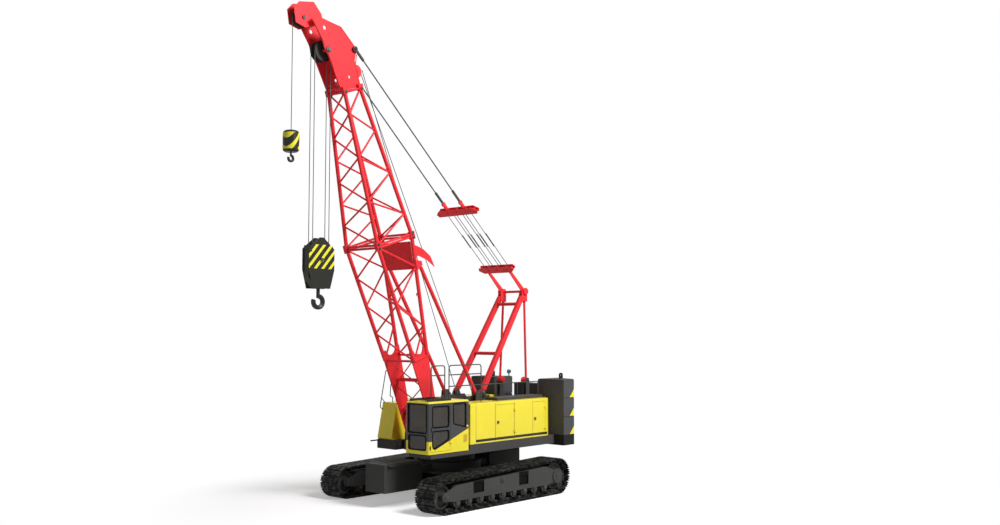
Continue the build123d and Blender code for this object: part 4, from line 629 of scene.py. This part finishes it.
def loop_places(offset):
    """Places and outward angles at equal steps round the loop, which has four stretches."""
    span, drop = FRONT_X - REAR_X, FRONT_RADIUS - REAR_RADIUS
    a = math.atan2(drop, span) + math.acos(-drop / math.hypot(span, drop))
    nose = (a + np.pi / 2) * FRONT_RADIUS
    top = math.hypot(span + drop * math.cos(a), drop + drop * math.sin(a))
    total = span + nose + top + (1.5 * np.pi - a) * REAR_RADIUS
    count = round(total / SHOE_PITCH)
    d = (np.arange(count) + offset) * total / count
    stretches = [d < span, d < span + nose, d < span + nose + top]
    run = d - span - nose
    around = np.select(stretches, [-np.pi / 2 + 0 * d, (d - span) / FRONT_RADIUS - np.pi / 2, a + 0 * d],
                       a + (run - top) / REAR_RADIUS)
    x = np.select(stretches, [REAR_X + d, FRONT_X + FRONT_RADIUS * np.cos(around),
                              FRONT_X + FRONT_RADIUS * math.cos(a) - run * math.sin(a)],
                  REAR_X + REAR_RADIUS * np.cos(around))
    z = np.select(stretches, [0 * d, FRONT_RADIUS + FRONT_RADIUS * np.sin(around),
                              FRONT_RADIUS + FRONT_RADIUS * math.sin(a) + run * math.cos(a)],
                  REAR_RADIUS + REAR_RADIUS * np.sin(around))
    return x, z, around


def set_round_loop(part, offset, middle):
    """Copies a flat form round the loop: along the run and outwards become turned directions."""
    points, faces = part
    x, z, around = loop_places(offset)
    along, across, out = points.T
    px = x[:, None] - np.outer(np.sin(around), along) + np.outer(np.cos(around), out)
    pz = z[:, None] + np.outer(np.cos(around), along) + np.outer(np.sin(around), out)
    py = np.broadcast_to(middle + across, px.shape)
    moved = np.stack([px, py, pz], -1).reshape(-1, 3)
    shifts = np.arange(len(x)) * len(points)
    return moved, [[int(shift) + i for i in face] for shift in shifts for face in faces]


TREADS, TREAD_PITCH, TREAD_WIDTH, TREAD_LENGTH = 4, 0.1875, 0.17, 0.07
TOOTH_LENGTH, TOOTH_DEPTH, RAIL_Y, RAIL_HALF = 0.032, 0.03, 0.175, 0.035
PIN_LEVEL, PIN_REACH = -0.1, 0.225


def flat_shoe():
    """One shoe: a plate, four by two treads, teeth along both ends, two rails and a guide horn inside."""
    w, h = SHOE_HALF_WIDTH, SHOE_HALF
    parts = [brick((-h, 0.022 - w, -0.046), (h, w - 0.022, -0.018)),
             brick((-0.5 * SHOE_PITCH, 0.06 - w, -0.052), (0.5 * SHOE_PITCH, w - 0.06, -0.03))]
    for low in (-0.083, 0.013):
        for k in range(TREADS):
            y = -w + 0.03 + k * TREAD_PITCH
            parts.append(brick((low, y, -0.02), (low + TREAD_LENGTH, y + TREAD_WIDTH, 0.0)))
    for side in (-1, 1):
        inner, outer = sorted((side * w, side * (w - TOOTH_DEPTH)))
        for t in (-0.078, -0.016, 0.046):
            parts.append(brick((t, inner, -0.044), (t + TOOTH_LENGTH, outer, 0.0)))
        y = side * RAIL_Y
        parts.append(brick((-0.1, y - RAIL_HALF, -0.146), (0.1, y + RAIL_HALF, -0.044)))
    horn = [(-0.07, -0.046), (-0.035, -0.12), (0.035, -0.12), (0.07, -0.046)]
    parts.append(cut_plate(horn, (0, 0.07, 0), FORWARD, UP, 0.14))
    return join(parts)


def shoe_pin():
    """The pin that joins two shoes, with a head on each end."""
    def rod(start, end, radius):
        return pipe([(0.0, start, PIN_LEVEL), (0.0, end, PIN_LEVEL)], radius, 8)
    return join([rod(-PIN_REACH, PIN_REACH, 0.026), rod(PIN_REACH - 0.02, PIN_REACH + 0.01, 0.04),
                 rod(-PIN_REACH - 0.01, 0.02 - PIN_REACH, 0.04)])


for name, middle in (("left", TRACK_MIDDLE_Y), ("right", -TRACK_MIDDLE_Y)):
    shoes = set_round_loop(flat_shoe(), 0.5, middle)
    pins = set_round_loop(shoe_pin(), 0.0, middle)
    belt = make_piece("shoes_" + name, [shoes, pins], steels["tracks_black"],
                      "undercarriage")
    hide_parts("track_" + name)

# %% [markdown]
# ## Wheels, frames and bolts of the undercarriage
# Rollers show their bright worn shaft ends under the side frame. The final drive's cover is held by
# a ring of bolts, and the frame has small covers that are bolted on.

# %% Undercarriage trim
FRAME_FACE, HUB_FACE, ROLLER_Z = 0.325, 0.045, 0.2883
BOSS_X, BOSS_Z, COVER_PLACES, COVER_Z = 0.14, 0.72, (-1.78, 1.62), 0.60
DRIVE_CAP = [(0, 0.1), (0.012, 0.1), (0.02, 0.09), (0.02, 0.035), (0.012, 0.03), (0.012, 0.002)]
WHEEL_CAP = [(0, 0.13), (0.012, 0.13), (0.03, 0.1), (0.03, 0.04), (0.045, 0.04), (0.05, 0.02)]
BOSS = [(0, 0.09), (0.02, 0.09), (0.035, 0.07), (0.035, 0.04), (0.06, 0.04), (0.06, 0.002)]
roller_x = np.linspace(REAR_X + REAR_RADIUS + 0.032, FRONT_X - FRONT_RADIUS - 0.032, 9)

roller_ends, frame_bolts = [], []
for side in (-1, 1):
    for face in (-1, 1):
        y = side * TRACK_MIDDLE_Y + face * FRAME_FACE
        for x in roller_x:
            roller_ends.append(pin_head((x, y, ROLLER_Z), face * LEFT, 0.04, 0.012))
    away = side * LEFT
    outer = side * (TRACK_MIDDLE_Y + FRAME_FACE)
    hub = (REAR_X, outer + side * HUB_FACE, REAR_RADIUS)
    frame_bolts += bolt_circle(hub, away, 0.19, 16, 0.015, 0.01)
    frame_bolts.append(turned(DRIVE_CAP, hub, away, 28))
    frame_bolts.append(turned(WHEEL_CAP, (FRONT_X, outer, FRONT_RADIUS), away, 28))
    frame_bolts += bolt_circle((FRONT_X, outer + side * 0.01, FRONT_RADIUS), away, 0.115, 8, 0.012, 0.01)
    frame_bolts.append(turned(BOSS, (BOSS_X + SHIFT_X, outer, BOSS_Z), away, 28))
    frame_bolts += bolt_circle((BOSS_X + SHIFT_X, outer + side * 0.02, BOSS_Z), away, 0.07, 6, 0.01, 0.01)
    for x in COVER_PLACES:
        frame_bolts += [bolt((x + SHIFT_X + dx, outer, COVER_Z + dz), away)
                        for dx in (-0.09, 0.09) for dz in (-0.07, 0.07)]
make_piece("roller_ends", roller_ends, steels["worn_steel"], "undercarriage")
make_piece("frame_bolts", frame_bolts, paints["frame_grey"], "undercarriage")

ring_bolts = bolt_circle((SHIFT_X, 0.0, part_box("slew_ring")[0].z), UP, 0.93, 44, 0.02, 0.03)
for side in (-1, 1):
    for z in (0.55, 0.83, 1.11):
        ring_bolts += [bolt((SHIFT_X + side * 2.98, y, z), side * FORWARD, 0.022, 0.015)
                       for y in (-0.34, 0.34)]
within = [b for b in ring_bolts if b[0][:, 0].max() < SHIFT_X + TRACK_HALF_LENGTH]
make_piece("ring_bolts", within, paints["frame_grey"], "undercarriage")

# %% [markdown]
# ## Window seals and cab trim
# A black rubber profile holds each pane. It is one closed ring: a small section carried round the
# window's outline, whose corners are rounded first. The pane of the real cab is bonded behind it.

# %% Seals
CAB_LEFT, CAB_FRONT, CAB_REAR, CAB_RIGHT = 1.68, 2.45 + SHIFT_X, 0.77 + SHIFT_X, 0.71


def seal(corners, origin, across, up, radius=0.07, width=0.034, height=0.008):
    """A closed band: the outline with parabolas at its corners, and a flat section set across it."""
    corners = np.asarray(corners, float)
    t = np.linspace(0.0, 1.0, 5)[:, None]
    before, after = np.roll(corners, 1, 0), np.roll(corners, -1, 0)
    first = (corners + radius * unit(before - corners))[:, None]
    last = (corners + radius * unit(after - corners))[:, None]
    path = ((1 - t) ** 2 * first + 2 * t * (1 - t) * corners[:, None] + t ** 2 * last).reshape(-1, 2)
    ahead = unit(np.roll(path, -1, 0) - np.roll(path, 1, 0))
    outward = np.stack([ahead[:, 1], -ahead[:, 0]], -1)
    across, up = np.asarray(across, float), np.asarray(up, float)
    lift = np.cross(across, up)
    section = np.array([(-0.5, 0.0), (0.5, 0.0), (0.5, 0.7), (0.3, 1.0), (-0.3, 1.0), (-0.5, 0.7)])
    flat = path[:, None] + outward[:, None] * (section[None, :, :1] * width)
    rings = np.asarray(origin) + flat[..., :1] * across + flat[..., 1:] * up
    rings = rings + section[None, :, 1:] * height * lift
    return rings.reshape(-1, 3), grid_quads(len(path), len(section), wrap=True)


def side_seal(corners, y, outward):
    """A seal on a face that looks left or right, given by X and Z."""
    if outward < 0:
        return seal(corners, (0, y, 0), FORWARD, UP)
    return seal([(-x, z) for x, z in corners], (0, y, 0), -FORWARD, UP)


def end_seal(corners, x, outward):
    """A seal on a face that looks forward or back, given by Y and Z."""
    if outward > 0:
        return seal(corners, (x, 0, 0), LEFT, UP)
    return seal([(-y, z) for y, z in corners], (x, 0, 0), -LEFT, UP)


def rectangle(low, high, bottom, top):
    """The corners of an upright rectangle, from its lower first corner round."""
    return [(low, bottom), (high, bottom), (high, top), (low, top)]


quarter = [(CAB_REAR + 0.15, 2.27), (CAB_REAR + 0.68, 2.40),
           (CAB_REAR + 0.68, 2.98), (CAB_REAR + 0.15, 2.98)]
cab_seals = [
    side_seal(quarter, CAB_LEFT, 1),
    side_seal(rectangle(CAB_REAR + 0.18, CAB_FRONT - 0.17, 2.25, 2.96), CAB_RIGHT, -1),
    end_seal(rectangle(0.83, 1.59, 2.18, 3.0), CAB_FRONT, 1),
    end_seal(rectangle(0.85, 1.57, 1.70, 2.11), CAB_FRONT, 1),
    end_seal(rectangle(0.89, 1.53, 2.35, 2.90), CAB_REAR, -1),
]
make_piece("cab_seals", cab_seals, steels["rubber"], "superstructure")
door_rear, door_front = 1.63 + SHIFT_X, 2.30 + SHIFT_X
door_seals = [
    side_seal(rectangle(door_rear, door_front, 2.33, 2.93), CAB_LEFT, 1),
    side_seal([(door_rear, 1.96), (door_front - 0.06, 1.72), (door_front, 1.80), (door_front, 2.23),
               (door_rear, 2.23)], CAB_LEFT, 1),
]
make_piece("door_seals", door_seals, steels["rubber"], "cab_door")

# %% Cab trim and the levers
LOUVRE_REAR, LOUVRE_FRONT, LOUVRE_LOW, LOUVRE_PITCH, SLAT = 0.875, 1.025, 1.85, 0.027, 0.014
louvre = []
for k in range(8):
    low = LOUVRE_LOW + LOUVRE_PITCH * k
    louvre.append(brick((LOUVRE_REAR + SHIFT_X, CAB_LEFT, low),
                        (LOUVRE_FRONT + SHIFT_X, CAB_LEFT + 0.008, low + SLAT)))
# The louvre slats are yellow; their darker ochre here is painted shade for the vent.
shaded_louvre_paint = paint("louvre_painted_shade", linear(206, 176, 46), specular=0.2)
make_piece("cab_louvre", louvre, shaded_louvre_paint, "superstructure")

OVAL_X, OVAL_Z, OVAL_HALF_WIDTH, OVAL_HALF_HEIGHT = 2.385, 1.77, 0.026, 0.062
angles = even_turns(24)
oval = np.column_stack([OVAL_HALF_WIDTH * np.cos(angles) - OVAL_X - SHIFT_X,
                        OVAL_HALF_HEIGHT * np.sin(angles) + OVAL_Z])
KNOB = [(0, 0.006), (0.01, 0.02), (0.03, 0.026), (0.05, 0.018), (0.058, 0.004)]
# The oval is a thin black plate over a slot in the cab side: painted shade for its opening. The levers and
# knobs are black.
slot_shade_and_dark_trim = [cut_plate(oval, (0, CAB_LEFT, 0), -FORWARD, UP, 0.006)]
for y in (0.98, 1.07):
    lever = [(1.97 + SHIFT_X, y, 2.14), (1.95 + SHIFT_X, y, 2.26), (1.90 + SHIFT_X, y, 2.34)]
    slot_shade_and_dark_trim.append(pipe(bend(lever, 0.04), 0.008))
    slot_shade_and_dark_trim.append(turned(KNOB, (1.90 + SHIFT_X, y, 2.33), (-0.3, 0, 1), 14))
make_piece("cab_dark_trim", slot_shade_and_dark_trim, steels["rubber"], "superstructure")

lamp_profile = [(0, 0.04), (0.02, 0.04), (0.03, 0.03), (0.036, 0.012), (0.037, 0.001)]
cab_lamp = turned(lamp_profile, (0.87 + SHIFT_X, CAB_LEFT, 2.295), LEFT, 20)
make_piece("cab_lamp", [cab_lamp], steels["lamp_amber"], "superstructure")

# %% [markdown]
# ## Handrails at the right front
# A thin rail stands ahead of the right cabinet, so that a person can step up to the walkway. It is
# one bent tube, with a strut to the cabinet and a foot bar near the cabinet's sill.

# %% Ladder rail
rail_corners = [(1.27, -1.62, 2.64), (1.37, -1.62, 2.72), (1.14, -1.62, 3.85), (1.14, -1.30, 3.85),
                (1.22, -1.30, 3.35), (1.24, -1.30, 3.06), (1.13, -1.30, 3.03), (1.13, -1.30, 2.85)]
rail = [pipe(bend(np.array(rail_corners) + [SHIFT_X, 0, 0], 0.04), 0.014, 8),
        pipe([(1.315 + SHIFT_X, -1.62, 3.0), (1.20 + SHIFT_X, -1.56, 2.83)], 0.012, 8),
        pipe([(1.42 + SHIFT_X, -1.58, 1.70), (1.78 + SHIFT_X, -1.58, 1.70)], 0.02, 8)]
make_piece("ladder_rail", rail, paints["base_black"], "superstructure")

# %% [markdown]
# ## Pins and sockets
# Pins carry the loads of a lattice boom, and each shows a turned head outside its lug or plate.
# They are placed from the boom's own measures: along it, across it and to its side.

# %% Boom pins, pegs and shaft ends
PIN_CAP = [(0, 0.046), (0.012, 0.046), (0.018, 0.038)]


def chord_pins(s, half_y, half_n):
    """Pins across the four chord joints at one place along the boom."""
    forms = []
    for side in (-1, 1):
        for face in (-1, 1):
            middle = on_boom(s, face * half_n, side * half_y)
            forms.append(pipe([middle - 0.085 * LEFT, middle + 0.085 * LEFT], 0.034, 16))
            forms += [turned(PIN_CAP, middle + end * 0.07 * LEFT, end * LEFT, 16) for end in (-1, 1)]
    return forms


def shaft_ends(s, n, y, radius, height=0.02):
    """A turned head on both ends of a shaft across the boom."""
    return [pin_head(on_boom(s, n, side * y), side * LEFT, radius, height) for side in (-1, 1)]


HEAD, JOINT, SECTION_HALF, JOINT_HALF_GAP = 10.52, 6.0, 0.69, 0.06
boom_pins = chord_pins(JOINT - JOINT_HALF_GAP, SECTION_HALF, SECTION_HALF)
boom_pins += chord_pins(JOINT + JOINT_HALF_GAP, SECTION_HALF, SECTION_HALF)
boom_pins += chord_pins(HEAD - 0.05, 0.35, 0.30)
boom_pins += shaft_ends(HEAD + 1.17, -0.52, 0.345, 0.075)
boom_pins += shaft_ends(HEAD + 2.14, -0.97, 0.18, 0.06)
boom_pins += shaft_ends(HEAD + 1.08, 0.43, 0.415, 0.05)
for side in (-1, 1):
    boom_pins += bolt_circle(on_boom(HEAD + 1.17, -0.52, side * 0.32), side * LEFT, 0.1, 8, 0.013, 0.012)
make_piece("boom_pins", boom_pins, steels["worn_steel"], "boom")

pegs = []
for s, n, y in ((10.1, 0.36, 0.38), (8.1, 0.55, 0.55), (8.0, -0.56, 0.56), (4.25, 0.55, 0.62)):
    start = on_boom(s, n, y)
    inward = on_boom(s, n * 0.55, y) - start
    tip = start + inward * 0.5
    pegs.append(pipe([start, tip], 0.012, 8))
    pegs.append(pipe([tip - 0.045 * UP, tip + 0.045 * UP], 0.014, 8))
make_piece("boom_pegs", pegs, paints["boom_red"], "boom")

# %% Pins of the frame and the gantry
GANTRY_X, GANTRY_Z, BAR_X = -3.13 + SHIFT_X, 6.42, -3.12 + SHIFT_X
BAR_EYE = [(0, 0.06), (0.012, 0.1), (0.05, 0.115), (0.088, 0.1), (0.1, 0.06)]
GANTRY_CAP = [(0, 0.11), (0.02, 0.12), (0.05, 0.12), (0.07, 0.1)]
upper_pins, bosses = [], []
for side in (-1, 1):
    away = side * LEFT
    upper_pins.append(pin_head((FOOT_X, side * 0.684, FOOT_Z), away, 0.075, 0.018))
    upper_pins.append(pin_head((GANTRY_X, side * 0.565, GANTRY_Z), away, 0.058, 0.016))
    upper_pins.append(pin_head((-0.97 + SHIFT_X, side * 0.645, 3.16), away, 0.06, 0.016))
    upper_pins.append(pin_head((BAR_X, side * 0.66, 3.45), away, 0.05, 0.016))
    bosses.append(turned(BAR_EYE, (BAR_X, side * 0.47 - 0.05, 3.46), LEFT, 20))
    bosses.append(turned(GANTRY_CAP, (GANTRY_X, side * 0.53, GANTRY_Z), away, 20))
make_piece("frame_pins", upper_pins, steels["worn_steel"], "superstructure")
make_piece("gantry_bosses", bosses, paints["boom_red"], "superstructure")

# %% [markdown]
# ## Braces and edge strips
# Thin tubes cross between the chords of the boom's foot. The plates of the head are stiffened
# along their edges by strips, and a few bolts show on them.

# %% Braces in the foot and strips on the head
foot_braces = []
for low, high in ((0.75, 1.55), (1.55, 2.45)):
    for side in (-1, 1):
        ends = [on_boom(s, 0.02 - 0.115 * s, y * (0.575 + 0.013 * s))
                for s, y in ((low, -side), (high, side))]
        foot_braces.append(pipe(ends, 0.018, 8))
make_piece("foot_braces", foot_braces, paints["boom_red"], "boom")

HEAD_FACE = 0.321
HEAD_STRIPS = [[(0.58, -0.46), (1.04, -0.54), (1.42, -0.62), (2.03, -0.80)],
               [(0.10, 0.34), (0.62, 0.34), (0.92, 0.48)],
               [(1.16, 0.46), (1.74, 0.12), (1.93, -0.28)]]
HEAD_BOLTS = ((0.3, 0.2), (0.3, -0.25), (0.75, 0.2), (0.75, -0.3), (1.35, -0.2), (1.6, -0.35))
head_trim = []
for side in (-1, 1):
    for strip in HEAD_STRIPS:
        head_trim.append(pipe([on_boom(HEAD + s, n, side * HEAD_FACE) for s, n in strip], 0.014, 6))
    head_trim += [bolt(on_boom(HEAD + s, n, side * HEAD_FACE), side * LEFT, 0.02, 0.014)
                  for s, n in HEAD_BOLTS]
make_piece("head_trim", head_trim, paints["boom_red"], "boom")

# %% Bolts of the hook block
block_middle = (np.array(block_low) + np.array(block_high)) / 2
block_bolts = []
for side in (-1, 1):
    face = np.array([block_middle[0], side * 0.175, 7.06])
    block_bolts.append(pin_head(face, side * LEFT, 0.06, 0.012))
    for x, z in ((-0.36, 7.3), (0.36, 7.3), (-0.38, 6.86), (0.38, 6.86), (-0.24, 6.42), (0.24, 6.42)):
        block_bolts.append(bolt((block_middle[0] + x, side * 0.155, z), side * LEFT, 0.02, 0.014))
make_piece("block_bolts", block_bolts, steels["worn_steel"], "main_hook_block")

# %% [markdown]
# ## Ropes
# The hoist ropes come down behind the boom from the guide sheave to their drums. Each is one
# straight thin tube that rides on no body. On the drums the rope lies in close turns, drawn as one turned
# form with a ripple on its radius.

# %% Hoist ropes
HOIST_RADIUS, BENT_SHARE = 0.011, 0.3
drums = [(-0.42, 0.29), (-1.30, 0.29), (-2.25, 0.23)]
DRUM_Z, DRUM_HALF = 2.18, 0.36
rise = math.radians(67.0)
for k, (drum_x, barrel) in enumerate(drums[:2]):
    y = 0.05 - 0.1 * k
    leave = barrel + 0.02
    low = np.array([drum_x + SHIFT_X - math.sin(rise) * leave, y, DRUM_Z + math.cos(rise) * leave])
    high = on_boom(11.0, 0.8, y)
    share = np.linspace(0.0, 1.0, 80)[:, None]
    rope = make_piece("hoist_rope_" + str(k + 1), [pipe(low + share * (high - low), HOIST_RADIUS, 8)],
                      steels["rope_steel"], None)
    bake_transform(rope)

# %% Rope on the drums
turns_on_drums = []
for drum_x, barrel in drums:
    y = np.linspace(-DRUM_HALF, DRUM_HALF, 200)
    ripple = barrel + 0.006 + 0.008 * np.abs(np.sin(np.pi * y / (2 * HOIST_RADIUS)))
    profile = np.column_stack([y, ripple])
    turns_on_drums.append(turned(profile, (drum_x + SHIFT_X, 0.0, DRUM_Z), LEFT, 40))
make_piece("drum_rope", turns_on_drums, steels["rope_steel"], "superstructure")

# %% [markdown]
# ## Lamp on the tail
# A small work lamp with a tinted lens stands on the inner rear corner of the right stack.

# %% Tail lamp
LAMP_AT = np.array([-4.08 + SHIFT_X, -1.02, 3.52])
HOUSING = [(-0.05, 0.02), (-0.045, 0.06), (0.03, 0.075), (0.034, 0.07)]
LENS = [(0, 0.066), (0.01, 0.06), (0.018, 0.04), (0.022, 0.002)]
lamp_middle = LAMP_AT + 0.16 * UP
lamp_body = [pipe([LAMP_AT, LAMP_AT + 0.1 * UP], 0.018, 10), turned(HOUSING, lamp_middle, FORWARD, 20)]
make_piece("tail_lamp", lamp_body, paints["base_black"], "superstructure")
lamp_lens = turned(LENS, lamp_middle + 0.034 * FORWARD, FORWARD, 20)
make_piece("tail_lamp_lens", [lamp_lens], steels["lamp_teal"], "superstructure")

# %% [markdown]
# ## The seat
# The driver's seat is foam under woven cloth. Two rounded forms are inflated by a short cloth
# simulation, so that their faces crown and their sides draw in, and then two channels are pressed
# into each face as the sewn seams of the real cover.

# %% Seat pads
SEAT_X, SEAT_Y, SEAT_Z = 1.41 + SHIFT_X, 1.195, 1.96


def pad_form(centre, half, squareness=0.35, count=28):
    """A rounded box: each coordinate is a power of sines and cosines of two angles, times its half size."""
    u = np.linspace(-np.pi / 2, np.pi / 2, count)[:, None]
    v = np.linspace(-np.pi, np.pi, 2 * count + 1)[None, :-1]

    def power(value):
        return np.sign(value) * np.abs(value) ** squareness
    form = np.stack([power(np.cos(u)) * power(np.cos(v)), power(np.cos(u)) * power(np.sin(v)),
                     power(np.sin(u)) * np.ones_like(v)], -1)
    return rings_to_part(np.asarray(centre) + form[1:-1] * np.asarray(half))


def inflate(piece, voxel, pressure, cap, frames=20):
    """Remeshes a closed form evenly, swells it as cloth without gravity, and caps how far a point moves."""
    remesh = piece.modifiers.new("remesh", "REMESH")
    remesh.mode = "VOXEL"
    remesh.voxel_size = voxel
    apply_modifiers(piece)
    start = read_points(piece)
    cloth = piece.modifiers.new("cloth", "CLOTH")
    cloth.settings.use_pressure = True
    cloth.settings.uniform_pressure_force = pressure
    cloth.settings.effector_weights.gravity = 0.0
    for frame_number in range(1, frames + 1):
        bpy.context.scene.frame_set(frame_number)
    apply_modifiers(piece)
    bpy.context.scene.frame_set(1)
    moved = read_points(piece) - start
    distance = np.linalg.norm(moved, axis=1, keepdims=True)
    write_points(piece, start + moved * np.minimum(1.0, cap / np.maximum(distance, 1e-9)))


def apply_modifiers(piece):
    """Replaces a piece's mesh by what its modifiers make of it."""
    graph = bpy.context.evaluated_depsgraph_get()
    made = bpy.data.meshes.new_from_object(piece.evaluated_get(graph))
    piece.modifiers.clear()
    piece.data = made


def read_points(piece):
    """The vertices of a piece as rows of an array."""
    points = np.empty(3 * len(piece.data.vertices))
    piece.data.vertices.foreach_get("co", points)
    return points.reshape(-1, 3)


def write_points(piece, points):
    """Puts rows of points back into a piece."""
    piece.data.vertices.foreach_set("co", np.ascontiguousarray(points, float).ravel())
    piece.data.update()


pads = make_piece("seat_pads", [pad_form((SEAT_X, SEAT_Y, SEAT_Z + 0.066), (0.235, 0.215, 0.05)),
                                pad_form((SEAT_X - 0.305, SEAT_Y, SEAT_Z + 0.42), (0.05, 0.195, 0.31))],
                  steels["seat_cloth"], "superstructure")
inflate(pads, 0.008, 4.0, 0.012)
points = read_points(pads)
off = np.abs(np.abs(points[:, 1] - SEAT_Y) - 0.1)
groove = 0.008 * np.exp(-(off / 0.008) ** 2)
on_top = points[:, 2] > SEAT_Z + 0.09
on_back = (points[:, 0] > SEAT_X - 0.3) & (points[:, 2] > SEAT_Z + 0.16)
points[:, 2] -= np.where(on_top & ~on_back & (points[:, 2] < SEAT_Z + 0.15), groove, 0.0)
points[:, 0] -= np.where(on_back, groove, 0.0)
write_points(pads, points)
pads.data.materials.clear()
pads.data.materials.append(steels["seat_cloth"])
pads.data.shade_smooth()
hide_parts("seat")
print("seat pads", len(pads.data.polygons), "faces")

# %% [markdown]
# ## Studio
# The picture has a white ground that keeps a soft shadow close to the tracks. The floor is a disc.
# To the eye it is white light plus a share of real shading near the crane, so that only shadows
# darken it, and pure white further out. The same white shows in gloss and through glass, while
# the light that reaches the crane comes from a plain floor and an even sky.

# %% Floor and world
FLOOR_RADIUS, SHADE_RADIUS = 160.0, 6.5
FLOOR_GLOW, FLOOR_SHARE, SKY = 0.35, 1.0, 0.14


def seen_directly(tree):
    """1 for rays from the eye, from gloss and through glass, else 0."""
    path = tree.nodes.new("ShaderNodeLightPath")
    eye, gloss, glass = (Value(tree, path.outputs[n]) for n in
                         ("Is Camera Ray", "Is Glossy Ray", "Is Transmission Ray"))
    return (eye + gloss + glass).math("MINIMUM", 1.0)


def make_disc(name, radius):
    """A flat disc: one face whose points lie at radius times cosine and sine."""
    turn = even_turns(96)
    points = np.column_stack([radius * np.cos(turn), radius * np.sin(turn), 0 * turn])
    mesh = bpy.data.meshes.new(name)
    mesh.from_pydata(points.tolist(), [], [list(range(96))])
    disc = bpy.data.objects.new(name, mesh)
    bpy.context.scene.collection.objects.link(disc)
    return disc


floor = make_disc("floor", FLOOR_RADIUS)
floor_material = bpy.data.materials.new("pale_floor")
floor_material.use_nodes = True
tree = floor_material.node_tree
tree.nodes.clear()
coordinates = tree.nodes.new("ShaderNodeTexCoord")
ground = Value(tree, coordinates.outputs["Object"])
distance = ground.node("ShaderNodeVectorMath", {"operation": "LENGTH"}, out=1, i0=ground)
plain = ground.node("ShaderNodeBsdfDiffuse", Color=(0.8, 0.8, 0.8, 1.0))
shaded = ground.node("ShaderNodeBsdfDiffuse", Color=(FLOOR_SHARE, FLOOR_SHARE, FLOOR_SHARE, 1.0))
glow = ground.node("ShaderNodeEmission", Strength=FLOOR_GLOW)
white = ground.node("ShaderNodeEmission", Strength=1.0)
near = ground.node("ShaderNodeAddShader", i0=shaded, i1=glow)
seen = ground.node("ShaderNodeMixShader", i0=distance.above(SHADE_RADIUS, 2.0), i1=near, i2=white)
surface = ground.node("ShaderNodeMixShader", i0=seen_directly(tree), i1=plain, i2=seen)
plug(tree.nodes.new("ShaderNodeOutputMaterial"), Surface=surface)
floor.data.materials.append(floor_material)

world = bpy.data.worlds.new("studio")
bpy.context.scene.world = world
world.use_nodes = True
plug(world.node_tree.nodes["Background"], Color=(1.0, 1.0, 1.0, 1.0),
     Strength=seen_directly(world.node_tree) * (1.0 - SKY) + SKY)
print("floor of", FLOOR_RADIUS, "m and an even sky")

# %% [markdown]
# ## Lamps
# One large soft lamp stands on the crane's left, high up, so that its long side is bright and its
# front lies in shade, as in the picture. A weak one from the front opens the shadows.

# %% Lamps
def soft_lamp(name, at, aim, size, watts):
    """A square lamp that looks from one point to another."""
    data = bpy.data.lights.new(name, "AREA")
    data.size = size
    data.energy = watts
    lamp = bpy.data.objects.new(name, data)
    lamp.location = at
    direction = np.array(aim, float) - np.array(at, float)
    yaw = math.atan2(direction[1], direction[0])
    pitch = math.atan2(direction[2], math.hypot(direction[0], direction[1]))
    lamp.rotation_euler = (math.pi / 2 + pitch, 0.0, yaw - math.pi / 2)
    bpy.context.scene.collection.objects.link(lamp)
    return lamp


soft_lamp("key", (-3.0, 21.0, 23.0), (0.0, 0.0, 4.0), 9.0, 7600.0)
soft_lamp("fill", (26.0, -2.0, 14.0), (0.0, 0.0, 5.0), 14.0, 250.0)
bpy.context.scene.view_settings.view_transform = "Standard"
print("two lamps: key and fill")
